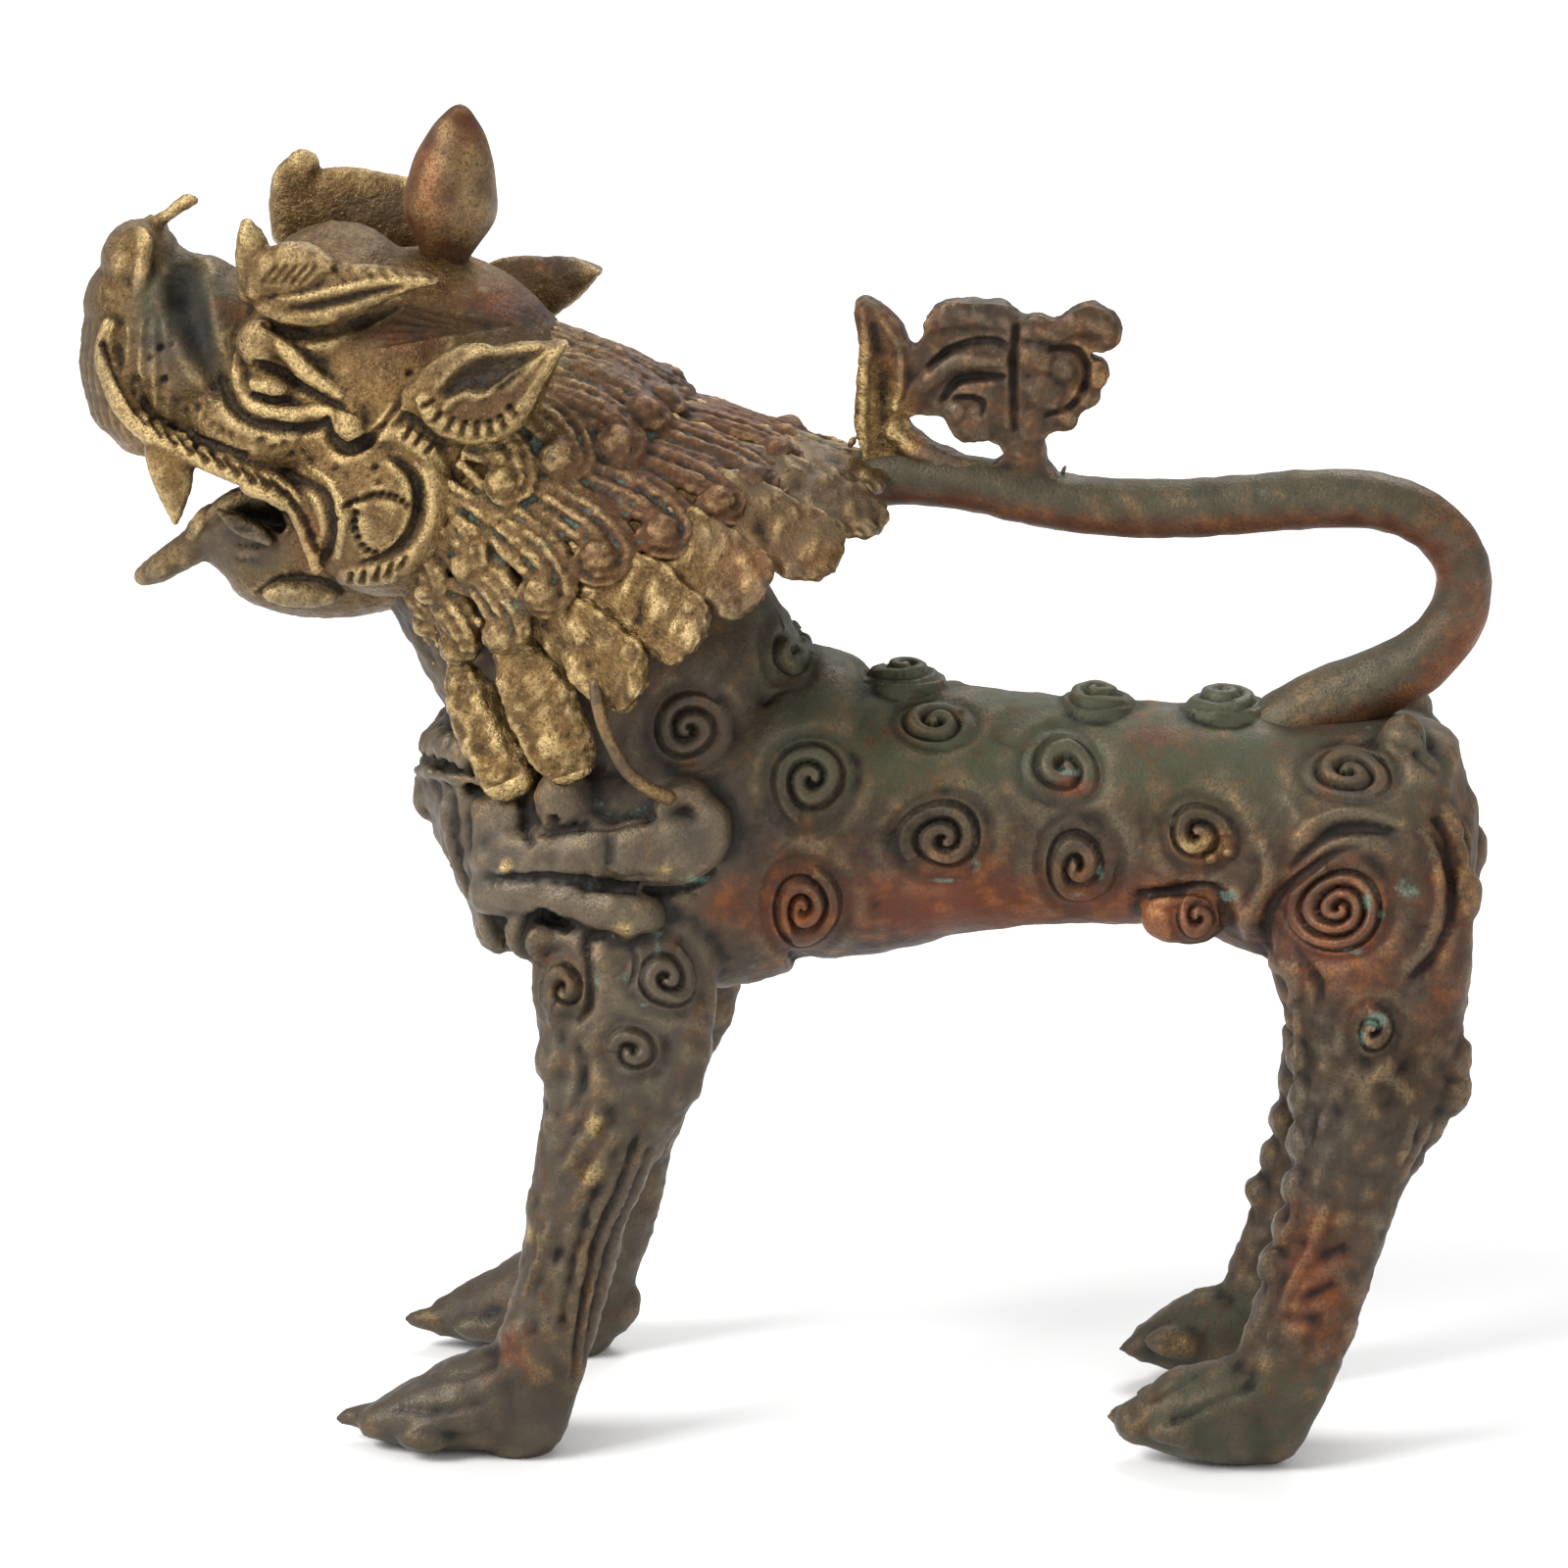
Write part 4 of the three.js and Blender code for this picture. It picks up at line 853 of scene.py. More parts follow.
# The right fang stands behind the left one, this far across and up.
FAR_FANG_STEP = [-1.5, 1.4, 0, 0]
FANG = [[-67, 114, 10.6, 2.9], [-66.9, 111, 11, 2.6], [-66.6, 108, 10.8, 1.7], [-66.4, 105.2, 10.4, 0.3]]
# The fluted front of the upper jaw: z and radius of each ring round its axis at x.
TEETH = [[129, 7.2], [126, 9.2], [121.5, 9.9], [118.5, 9.6], [114.5, 8.7], [110.6, 5]]
TEETH_AT = -69.1
FLUTES = 40
FLUTE_DEPTH = 0.022
RING_POINTS = 240
# The spike on the nose: x, y, z, half height and half width.
NOSE_CURL = [[-71.8, 0, 134.8, 1.2, 1.2], [-70.1, 0, 136.4, 0.9, 0.9], [-68.4, 0, 137.6, 0.75, 0.75],
             [-66.9, 0, 138.8, 0.95, 0.95], [-66.1, 0, 139, 0.7, 0.7]]
# Knobs of the face: across, up, out, half sizes and lean.
FACE_KNOBS = [
    [[-56.8, 125.6, 10.8], [2.6, 2.4, 2.7], 0],
    [[-55.9, 120.7, 11.2], [2.4, 1.6, 1.4], 10],
    [[-46.8, 116.5, 14.2], [2.1, 2.2, 2.4], 0],
    [[-52.7, 97.3, 8.4], [4.3, 1.8, 1.6], 0],
]
# Lines cut or beaded on the face: across, up, half width and height.
EAR_RIM = [[-38.6, 119.6, 0.9, 0.4], [-37.4, 117.6, 1.1, 0.6], [-34.8, 116, 1.2, 0.7],
           [-31.6, 115.9, 1.2, 0.7], [-29, 117.2, 1.1, 0.6], [-27, 120, 0.9, 0.5], [-25.4, 122.8, 0.7, 0.4],
           [-23.6, 125.4, 0.5, 0.3]]
# Nicks: across, up, and how far each runs and rises.
EAR_NICKS = [[-38.1, 119.2, 0.9, 0.5], [-37, 117.9, 0.7, 0.8], [-35.7, 117, 0.5, 1.0],
             [-34.2, 116.6, 0.2, 1.1], [-32.7, 116.5, 0, 1.1], [-31.2, 116.7, -0.3, 1.0],
             [-29.9, 117.5, -0.6, 0.9], [-28.8, 118.7, -0.9, 0.7]]
CHEEK_EDGE = [[-42.6, 113.2, 0.3, -0.3], [-40.7, 112, 0.6, -0.8], [-39.4, 109.8, 0.8, -1.0],
              [-39.3, 106.8, 0.9, -1.1], [-40.4, 104, 0.9, -1.0], [-42.6, 101.9, 0.7, -0.8],
              [-45.8, 100.7, 0.4, -0.4]]
COLLAR = [[-44.2, 115.6, 0.9, 0.3], [-41, 115.3, 1.4, 0.6], [-38.2, 113.2, 1.6, 0.8],
          [-37.1, 110.2, 1.7, 0.8], [-37.4, 106.8, 1.7, 0.8], [-38.6, 103.8, 1.6, 0.8],
          [-40.9, 101.4, 1.5, 0.7], [-44, 99.9, 1.3, 0.6], [-47.8, 99.4, 0.9, 0.3]]
COLLAR_NICKS = [[-41.2, 101.4, 0.7, 1.1], [-42.6, 100.6, 0.5, 1.2], [-44, 100, 0.4, 1.2],
                [-45.5, 99.6, 0.3, 1.1], [-46.9, 99.4, 0.2, 0.9], [-39.2, 115.2, 0.6, 0.9],
                [-40.3, 115.9, 0.5, 0.9], [-38.1, 114.2, 0.7, 0.7]]
# Notches along the lip, and punched dots: across and up.
LIP_NICKS = [[-73.7, 124.4], [-73.4, 123.4], [-72.9, 122.2], [-72.4, 121.1], [-71.7, 119.8], [-71, 118.5],
             [-70, 117.4], [-68.3, 116], [-66.8, 115.1], [-65, 114.1], [-63.4, 113.2], [-61.6, 112.5],
             [-59.9, 111.7], [-58.2, 110.9], [-56.5, 110.3], [-54.9, 109.5], [-53.4, 108], [-52.3, 106.4],
             [-51.6, 104.8], [-51.1, 103.2]]
DOTS = [[-47.6, 107.3], [-47, 107.7], [-46.3, 108], [-45.6, 108.2], [-44.9, 108.5], [-44.2, 108.7],
        [-43.4, 108.8], [-42.6, 108.7], [-41.8, 108.5], [-41.1, 108.1], [-40.5, 107.6], [-46.4, 106.6],
        [-46.5, 105.7], [-46.4, 104.8], [-46.1, 103.9], [-45.6, 103], [-45, 102.4], [-44.2, 102.1]]
# Casting pits: across, up and radius.
PITS = [[-67.5, 121.2, 0.55], [-64, 118.2, 0.4], [-63.2, 117.2, 0.35], [-62.3, 116.3, 0.4],
        [-61.2, 115.6, 0.4], [-60.2, 115.2, 0.4], [-62.9, 118.8, 0.3], [-56.8, 114.6, 0.45],
        [-55.4, 113.8, 0.4], [-54.2, 114.3, 0.4], [-53.4, 113, 0.45], [-52.2, 113.4, 0.35],
        [-51.4, 112.4, 0.4], [-48.6, 111.8, 0.45], [-46.4, 113.2, 0.35], [-44.1, 111.9, 0.5],
        [-43.6, 110.3, 0.4], [-47.4, 110.6, 0.35], [-48.2, 106, 0.4], [-46.6, 105.6, 0.45],
        [-40.2, 122.6, 0.5], [-67.8, 124.8, 0.5], [-66.6, 125.2, 0.4], [-69, 123.6, 0.35]]
GROOVES = [
    [[-61.4, 124, 0.6, -0.5], [-60.9, 120.4, 0.8, -0.8], [-59.2, 117.6, 0.8, -0.9], [-56, 116.2, 0.8, -0.9],
     [-52.6, 116, 0.7, -0.8], [-50, 116.4, 0.6, -0.7]],
    [[-49.5, 117, 0.5, -0.6], [-49, 115, 0.8, -1.0], [-47.2, 113.9, 0.8, -1.0], [-45, 114.8, 0.8, -0.9],
     [-43.2, 116.6, 0.5, -0.5]],
    [[-57.2, 123.2, 0.5, -0.6], [-54.6, 122.4, 0.7, -0.9], [-52, 120.6, 0.6, -0.8],
     [-49.6, 119.4, 0.4, -0.5], [-46, 117.9, 0.3, -0.3]],
    [[-57.6, 119.8, 0.3, -0.4], [-55.6, 119.2, 0.4, -0.6], [-53.4, 119.4, 0.3, -0.4]],
    [[-56, 127.8, 0.7, -0.5], [-51, 126.6, 1.0, -0.9], [-46, 128, 0.9, -0.7], [-41.4, 130.2, 0.5, -0.4]],
    [[-53.4, 129.4, 0.5, -0.4], [-49.4, 130, 0.7, -0.7], [-45, 131.2, 0.6, -0.6], [-41, 132.2, 0.4, -0.3]],
    [[-52.6, 110.4, 0.5, -0.5], [-50.2, 108.7, 0.8, -0.9], [-49.2, 105.6, 0.9, -1.1],
     [-49.5, 102.6, 0.7, -0.8], [-50.2, 100.8, 0.4, -0.3]],
    [[-60.2, 106.6, 0.4, -1.2], [-58.2, 107, 1.0, -2.6], [-56.2, 106.4, 1.3, -2.8], [-55, 105, 0.8, -1.8]],
    [[-36.4, 120.4, 0.8, -0.7], [-34, 121.8, 1.8, -1.3], [-30.8, 123, 2.3, -1.5], [-28, 124.3, 1.4, -1.1],
     [-25.6, 125.6, 0.4, -0.4]],
    [[-57.4, 97.2, 0.3, -0.4], [-55.2, 98.8, 0.35, -0.5], [-52.4, 99.2, 0.35, -0.5],
     [-49.6, 98.7, 0.35, -0.5], [-47.8, 97.4, 0.3, -0.4]],
    [[-70.5, 121.4, 0.4, -0.3], [-69.4, 117.8, 0.5, -0.4], [-66.4, 115.6, 0.5, -0.4],
     [-62.6, 114.2, 0.5, -0.4], [-58.6, 112.8, 0.5, -0.4]],
]
VALLEY = [[-64.4, 135.6, 2.2, -0.6], [-65, 131.6, 3.2, -1.5], [-64.2, 127.4, 3, -1.5],
          [-62.6, 123, 2.2, -1.0], [-61.6, 120, 1.4, -0.4]]
BEADS = [
    [[-51.6, 111.8, 0.4, 0.3], [-48.8, 109.8, 0.6, 0.5], [-47.8, 105.8, 0.6, 0.5],
     [-48.3, 101.8, 0.5, 0.4]],
    [[-54.6, 130.6, 0.4, 0.4], [-51.4, 131, 0.5, 0.5], [-47.2, 132, 0.5, 0.5], [-43.4, 132.8, 0.45, 0.4],
     [-38, 133, 0.3, 0.3]],
    [[-64.8, 103.4, 0.7, 0.4], [-62.8, 106.3, 1.0, 0.7], [-60, 108.2, 1.0, 0.8], [-57, 108.4, 0.9, 0.7],
     [-54.6, 107.2, 0.6, 0.4]],
    [[-43.8, 116.6, 0.35, 0.4], [-42.2, 119, 0.3, 0.4]],
    [[-42.6, 116.4, 0.35, 0.4], [-40.9, 118.6, 0.3, 0.4]],
    [[-36.6, 118.4, 0.35, 0.5], [-35.2, 119.8, 0.45, 0.7], [-33.8, 120.6, 0.4, 0.7],
     [-32.2, 120.2, 0.45, 0.7], [-30.8, 121.2, 0.4, 0.7], [-29.2, 122.4, 0.4, 0.6], [-27, 124, 0.3, 0.4]],
    [[-47, 102.2, 1.4, 0.0], [-44.6, 104.4, 2.3, 0.35], [-43.2, 106.2, 1.8, 0.2]],
]
# Hatching: across, up, run and rise.
BROW_HATCHES = [[u, 133.5, 1.3, -1.4] for u in (-47.8, -46.3, -44.4, -42.7, -41, -39.6)]
LOBE_HATCHES = [[u, 133.3, 1.6, 1.9] for u in (-55.6, -54.5, -53.4, -52.3, -51.2)]
JAW_HATCHES = [[u, w, 0.7, -0.5] for u in (-59.4, -58.6, -57.8) for w in (104.4, 102.6, 100.8)]
# Hair lines on the crown run between these two, as do their depths.
HAIR_TOP = np.array([[-40, 130.4], [-36.4, 129.3], [-32.6, 128.6], [-28.8, 128.2]])
HAIR_LOW = np.array([[-44.8, 125.4], [-41.2, 126.1], [-37.4, 126.9], [-33.6, 127.4]])
HAIR_DEPTHS = [-0.1, -0.3, -0.35, -0.2]
HAIR_HALF = 0.3
LIP_NICK = {"run": 1.2, "rise": -1.9, "wide": 0.36, "deep": 0.8}
RIM_NICK = {"wide": 0.3, "deep": 0.65}
HATCH = {"wide": 0.2, "deep": 0.35}
DOT = {"radius": 0.42, "high": -0.8, "edge": 1}
HEAD_GRAIN = [[0.06, 3.5, 5], [0.035, 1.1, 6]]


def on_side(form, side):
    """A ball moved out to one side."""
    (x, out, z), sizes = form
    return ball([x, side * out, z], sizes)


def head_shells():
    """Skull, snout, cheeks, jaw, lips, lids, brows, ears, fangs, nose curl and the fluted front teeth."""
    shells = [ball(*form) for form in [*SKULL, SNOUT, *NOSE]]
    shells += [tube(midline(JAW), count=50, sides=36), tube(midline(TONGUE)), tube(NOSE_CURL, sides=14)]
    for side in SIDES:
        shells += [on_side(form, side) for form in (UPPER_JAW, SOCKET, CHEEK)]
        shells.append(seen_leaf(LIP_BAND, side, 3.4, square=3.4))
        shells += [seen_rope(rows, side) for rows in (WING, LOWER_LID, UPPER_LID)]
        fang = np.array(FANG) + np.array(FAR_FANG_STEP) * (side > 0)
        shells += [seen_leaf(fang, side, 3.0), seen_leaf(INNER_TONGUE, side, 2.0)]
        shells += [seen_ball(place, side, sizes, lean) for place, sizes, lean in FACE_KNOBS]
    for rows, plane in ((EAR, EAR_PLANE), (FAR_EAR, -EAR_PLANE)):
        bars = [[x, -out, z, high, EAR_HALF] for x, z, out, high in from_view(rows, plane)]
        shells.append(tube(bars, sides=28))
    brow = ((BROW_UPRIGHT, 3.6), (BROW_LOBE, 4.2), (BROW_LEAF, 3.4))
    shells += [seen_leaf(rows, -1, thick) for rows, thick in brow]
    shells += [seen_leaf(rows, -1, 4.0, FAR_OUT) for rows in (FAR_UPRIGHT, FAR_BODY)]
    return shells + [fluted_jaw()]


def fluted_jaw():
    """Rings about an upright axis whose radius swells by a cosine for each flute."""
    turn = np.linspace(0, 2 * np.pi, RING_POINTS, endpoint=False)
    flute = 1 + FLUTE_DEPTH * np.cos(FLUTES * turn)
    rings = [np.stack([TEETH_AT - r * flute * np.cos(turn), -r * flute * np.sin(turn), z + 0 * turn], 1)
             for z, r in TEETH[::-1]]
    return shell(np.stack(rings))


def face_relief(points, normals, side):
    """Everything cut or beaded on one side of the face. The lip's nicks reach further round it."""
    relief = side_relief(points, normals, side, FACE_PLANE, start=0.0, full=0.35)
    lip = side_relief(points, normals, side, FACE_PLANE, start=-0.1, full=0.1)
    for across, up in LIP_NICKS:
        lip.nick(across - 0.1, up - 0.2, **LIP_NICK)
    for rows in BEADS:
        relief.stroke(rows)
    for rows in (COLLAR, EAR_RIM):
        relief.stroke(rows, edge=0.4)
    relief.stroke(VALLEY, edge=1.6)
    for rows in GROOVES:
        relief.stroke(rows, edge=0.8)
    relief.stroke(CHEEK_EDGE, edge=0.7)
    relief.stroke(offset(CHEEK_EDGE, 1.0) * [1, 1, 0.5, -0.4])
    for row in EAR_NICKS + COLLAR_NICKS:
        relief.nick(*row, **RIM_NICK)
    for row in BROW_HATCHES + LOBE_HATCHES + JAW_HATCHES:
        relief.nick(*row, **HATCH)
    for share in np.linspace(0, 1, 6):
        line = HAIR_TOP + (HAIR_LOW - HAIR_TOP) * share
        relief.stroke(np.column_stack([line, np.full(len(line), HAIR_HALF), HAIR_DEPTHS]), edge=1)
    for across, up, radius in PITS:
        relief.dome(across, up, radius, -1.1 * radius, edge=1)
    for across, up in DOTS:
        relief.dome(across, up, **DOT)
    return relief.height() + lip.height()


def cast_head():
    """The head's skin with its notched lips, cheek disc and grain."""
    points, faces = fused(head_shells(), grain_size=0.29, rounds=3)
    normals = normals_of(points, faces)
    relief = sum(face_relief(points, normals, side) for side in SIDES)
    return points + normals * (relief.sum(1) + grain(points, HEAD_GRAIN))[:, None], faces, relief


# The bud's profile as radius and height, its foot's x and z, its lean, and how it is pinched.
BUD = [[0.3, -2], [2.6, -2], [2.5, 0.3], [3.2, 2], [4.7, 4.6], [5.2, 6.4], [5.0, 9], [4.2, 12.3],
       [2.8, 15.4], [1.3, 17.4], [0.3, 18]]
BUD_AT = [-37.9, 132.4]
BUD_LEAN = 6.2
BUD_PINCH = {"high": 0.05, "turn": 2.0}
BUD_GRAIN = [[0.06, 5, 7]]


def bud():
    """The bud on the crown: its profile turned about an axis that leans back.

    Its radius swells by the cube of a cosine of twice the turn, which pinches it into two soft ridges.
    """
    profile = spline(BUD, 70)
    turn = np.linspace(0, 2 * np.pi, 72, endpoint=False)
    pinch = 1 + BUD_PINCH["high"] * np.clip(np.cos(2 * (turn + BUD_PINCH["turn"])), 0, 1) ** 3
    radius = profile[:, :1] * pinch
    tip = np.radians(BUD_LEAN)
    x = radius * np.cos(turn)
    z = profile[:, 1:] + 0 * turn
    rings = np.stack([x * np.cos(tip) + z * np.sin(tip) + BUD_AT[0], radius * np.sin(turn),
                      z * np.cos(tip) - x * np.sin(tip) + BUD_AT[1]], 2)
    return roughened(*shell(rings), BUD_GRAIN)


# Mane

# Locks of both sides: share of the way to the rim and turn of the knob, the same of the root, and size.
LOCKS = [
    [0.77, 15, 0.40, 12, 1.0], [0.76, 33, 0.34, 29, 1.0], [0.73, 47, 0.30, 45, 1.0],
    [0.66, 64, 0.20, 60, 1.05], [0.55, 80, 0.12, 73, 1.1], [0.47, 98, 0.04, 89, 1.12],
    [0.47, 119, 0.12, 109, 1.05], [0.34, 141, 0.02, 133, 1.0],
    [0.36, 14, 0.0, 8, 0.85], [0.34, 27, -0.02, 25, 0.95], [0.33, 45, -0.04, 41, 1.0],
    [0.19, 60, -0.1, 50, 1.0], [0.06, 76, -0.14, 64, 0.9], [0.12, 108, -0.06, 99, 0.75],
    [0.03, 128, -0.12, 119, 0.75], [0.32, 163, -0.02, 156, 1.0], [0.12, 149, -0.12, 144, 0.75],
    [0.1, 174, -0.12, 170, 0.8],
]
# Locks on the nape, which are there once.
NAPE_LOCKS = [[0.76, 1, 0.4, 0, 0.9], [0.42, -2, 0.1, 0, 0.55], [0.16, 2, -0.1, 0, 0.65]]
# The bell's length from face to rim and its mean radius, which turn shares and angles into lengths.
ARC_MM = 25.8
ROUND_MM = 20.0
KNOB = {"turns": 1.25, "radius": 1.75, "inside": 0.4, "ball": 2.25}
# A lock's swing on its way from the root: share of the way and how far to one side.
SWING = np.array([[0.0, 0.0], [0.3, -0.7], [0.68, -0.9]])
# Half width, half height and lift at each of a lock's twelve points.
LOCK_WIDE = [1.5, 2.4, 2.6, 1.9, 1.5, 1.35, 1.25, 1.1, 1.0, 0.9, 0.8, 0.6]
LOCK_HIGH = [0.6, 1.0, 1.3, 1.4, 1.3, 1.2, 1.2, 1.2, 1.1, 1.1, 1.0, 0.9]
LOCK_LIFT = [-0.8, -0.1, 0.3, 0.6, 0.7, 0.8, 0.9, 1.1, 1.3, 1.5, 1.7, 1.8]
# Where the strands run, as shares of the half width, their half width as a share of it, their height over
# their width, how far they wave, and how much of the core's round they lie on.
STRANDS = [-0.78, -0.28, 0.26, 0.76]
STRAND_THICK = 0.31
STRAND_TALL = 1.15
STRAND_WAVE = 0.22
STRAND_ARCH = 0.8
# The core's half width as a share of the lock's.
CORE_WIDE = 0.95
# Fine strands between the locks: the turn of the first, where they stop, and each step.
FILLER_TURNS = (3, 178, 5.5)
# The ruff's leaves: turn, where the tip lies as a share of the way to the rim, and half width.
LEAVES = [[9, 1.08, 3.4], [27, 1.16, 4.1], [46, 1.15, 4.6], [65, 1.08, 4.6], [84, 1.08, 4.7],
          [104, 1.13, 4.7]]
# The ruff's front leaves, before the shoulder: thickness, and rows of across, up, out and half height.
FRONT_LEAVES = [
    [3.4, [[-21, 99, 18.6, 2.4], [-19.2, 95, 19.6, 3.8], [-17.9, 91, 20.4, 4.4], [-16.8, 88.4, 20.6, 3.4],
           [-16.3, 87.3, 20.6, 1.8]]],
    [3.2, [[-28.6, 95, 14.6, 2.2], [-27, 90.6, 16, 3.6], [-25.3, 86.4, 17, 4.1], [-23.6, 82.6, 17.4, 3.9],
           [-22.4, 80.2, 17.2, 3.5], [-21.9, 79.2, 17, 2.7]]],
    [4.8, [[-34, 91, 9.8, 1.6], [-33.2, 87.5, 11.2, 2.8], [-31.5, 83.2, 12.4, 3.2], [-29.8, 79.9, 13, 3.3],
           [-28.8, 77.8, 13.2, 3.1]]],
]
# One leaf from under the locks to its tip: share of its length, of its half width, and lift off the bell.
LEAF_ROOT = 0.42
LEAF = np.array([[0, 0.8, -0.4], [0.3, 0.9, 0.2], [0.55, 1.0, 1.0], [0.75, 1.0, 1.9], [0.88, 0.9, 2.6],
                 [0.955, 0.68, 3.0], [1.0, 0.25, 3.1]])
LEAF_HALF = 0.85
LEAF_TILT = 0.16
MANE_GRAIN = [[0.07, 1.7, 9], [0.04, 0.8, 10]]
LEAF_GRAIN = [[0.16, 3.1, 11], [0.10, 1.2, 12]]


def lock_path(s, turn, root_s, root_turn, size):
    """The middle line of a lock in the bell's tangent plane, with its half width, half height and lift.

    It comes from the root with a slight swing and meets a circle round the knob's middle, then spirals
    inwards, its radius falling evenly with the angle.
    """
    run = (s - root_s) * ARC_MM
    reach = np.radians(turn - root_turn) * ROUND_MM
    radius = KNOB["radius"] * size
    spiral = np.linspace(0, 1, 9)
    angle = np.arctan2(reach, run) + (spiral * KNOB["turns"] * 2 - 0.5) * np.pi
    shrink = radius * (1 - spiral * (1 - KNOB["inside"] / KNOB["radius"]))
    u = shrink * np.cos(angle)
    v = shrink * np.sin(angle)
    root = np.array([-run, -reach])
    line = root + (np.array([u[0], v[0]]) - root) * SWING[:, :1]
    line[:, 1] += SWING[:, 1] * size
    rows = np.column_stack([np.concatenate([line[:, 0], u]), np.concatenate([line[:, 1], v])])
    return spline(np.column_stack([rows, size * np.array([LOCK_WIDE, LOCK_HIGH, LOCK_LIFT]).T]), 54)


def lock(s, turn, root_s, root_turn, size):
    """One lock of hair: a low core, a round knob, and strands beside each other that wrap round the knob.

    Each strand keeps its share of the half width, with a sine added, and lies on the round of the core.
    """
    rows = lock_path(s, turn, root_s, root_turn, size)
    step = np.gradient(rows[:, :2], axis=0)
    square = unit(np.stack([-step[:, 1], step[:, 0]], 1))
    travel = np.linspace(0, 1, len(rows))
    shells = []
    for k, place in enumerate([0.0] + STRANDS):
        wave = STRAND_WAVE * size * np.sin(7 * travel + 2.1 * k + s * 9) * (place != 0)
        flat = rows[:, :2] + square * (rows[:, 2] * place + wave)[:, None]
        share = s + flat[:, 0] / ARC_MM
        degrees = turn + np.degrees(flat[:, 1] / ROUND_MM)
        arch = rows[:, 3] * np.sqrt(1 - place**2) * STRAND_ARCH if k else 0
        thick = rows[:, 2] * (STRAND_THICK if k else CORE_WIDE)
        tall = thick * STRAND_TALL if k else rows[:, 3]
        middle = bell(share, degrees, rows[:, 4] + arch)
        shells.append(sweep(middle, bell_normal(share, degrees), tall, thick, oval(12 if k else 16)))
    return shells + [ball(bell(s, turn, size), np.full(3, KNOB["ball"] * size), rings=12, sides=16)]


def fillers():
    """Fine strands that fill the gaps between the locks, whose turn and lift follow sines."""
    shells = []
    for k, turn in enumerate(np.arange(*FILLER_TURNS)):
        travel = np.linspace(0, 1, 30)
        share = -0.14 + (0.72 - 0.22 * smooth_step(60, 130, turn)) * travel
        degrees = turn + 1.6 * np.sin(9 * travel + 1.7 * k)
        middle = bell(share, degrees, 0.25 * np.sin(11 * travel + k))
        thick = 0.75 - 0.2 * np.abs(2 * travel - 1) ** 3
        shells.append(sweep(middle, bell_normal(share, degrees), thick, thick, oval(8)))
    return shells


def mane():
    """The bell with both sides' locks on it, the right side a mirrored copy, as one cast skin."""
    shells = [bell_core()]
    for row in LOCKS:
        left = lock(*row)
        shells += left + [mirrored(part) for part in left]
    for row in NAPE_LOCKS:
        shells += lock(*row)
    left = fillers()
    shells += left + [mirrored(part) for part in left]
    return roughened(*fused(shells, grain_size=0.27, rounds=1), MANE_GRAIN)


def leaf(turn, tip, wide, side):
    """One leaf of the ruff: a flat bar from under the locks to a blunt tip, flaring off the bell.

    Its edge wanders by a sine of its length, and one side rides a little higher, over its neighbour.
    """
    share = LEAF_ROOT + (tip - LEAF_ROOT) * LEAF[:, 0]
    rows = spline(np.column_stack([share, wide * LEAF[:, 1], LEAF[:, 2]]), 64)
    rows[:, 1] *= 1 + 0.04 * np.sin(23 * rows[:, 0] + turn)
    path = bell(rows[:, 0], turn, rows[:, 2], side)
    rise = bell_normal(rows[:, 0], turn, side)
    along = unit(np.gradient(path, axis=0))
    tilt = np.cross(rise, along) * side * LEAF_TILT
    return sweep(path, rise + tilt, np.full(len(rows), LEAF_HALF), rows[:, 1], oval(48, 3.2))


def ruff_leaves():
    """All the leaves of the ruff, the front ones turned out towards the side, rough from the mould."""
    shells = [leaf(*row, side) for row in LEAVES for side in SIDES]
    for thick, rows in FRONT_LEAVES:
        shells += [seen_leaf(rows, side, thick, EAR_PLANE, square=2.8, fine=2) for side in SIDES]
    return roughened(*joined(shells), LEAF_GRAIN)


# Tail

# The tail's rod: x, z and radius.
TAIL = [[52.4, 79.6, 3.7], [59, 83.8, 4.1], [65.8, 87, 3.9], [71.2, 90.2, 3.6], [74.8, 94.7, 3.3],
        [75.6, 99.4, 3.1], [74, 103.5, 3.1], [70.6, 106.4, 3.1], [66, 107.9, 3.2], [60.4, 108.1, 3.3],
        [53, 107.4, 3.3], [45, 106.6, 3.3], [37, 106.5, 3.25], [29, 107.3, 3.2], [21, 108.8, 3.1],
        [13, 109.4, 3.1], [7, 108.5, 3.1], [0, 108.3, 3.2]]
# Outlines of the tuft and of the opening in it: x and z.
TUFT_RIM = [[8.6, 107], [8.9, 111.6], [8.3, 114], [7.9, 116.4], [8.1, 120.1], [8.4, 124.3], [7.9, 127.7],
            [8, 129.1], [8.9, 129.7], [10, 129.3], [11.6, 128.2], [13, 126.8], [13.6, 125.3], [14.5, 124.4],
            [15.5, 125.7], [16, 128], [17.3, 129.1], [19.1, 129.6], [21.8, 129.6], [24.5, 129.5],
            [25.6, 128.6], [26.6, 127.9], [28.1, 128.2], [30.2, 127.8], [31.6, 128.5], [33.1, 129.5],
            [34.6, 129.6], [36.1, 128.7], [37.3, 127.4], [37.5, 126.2], [37, 125], [35.8, 124.3],
            [34.6, 124.4], [34, 124], [34.3, 123.5], [35.5, 123.1], [36.1, 122.1], [35.9, 121],
            [35.1, 119.9], [35, 118.4], [33.6, 117.6], [32.9, 117], [32.6, 115.9], [31.5, 115.2],
            [29.6, 115], [29, 114.2], [29.2, 112.9], [29.4, 111.5], [30.3, 110.4], [30.6, 107.6],
            [20, 106.6]]
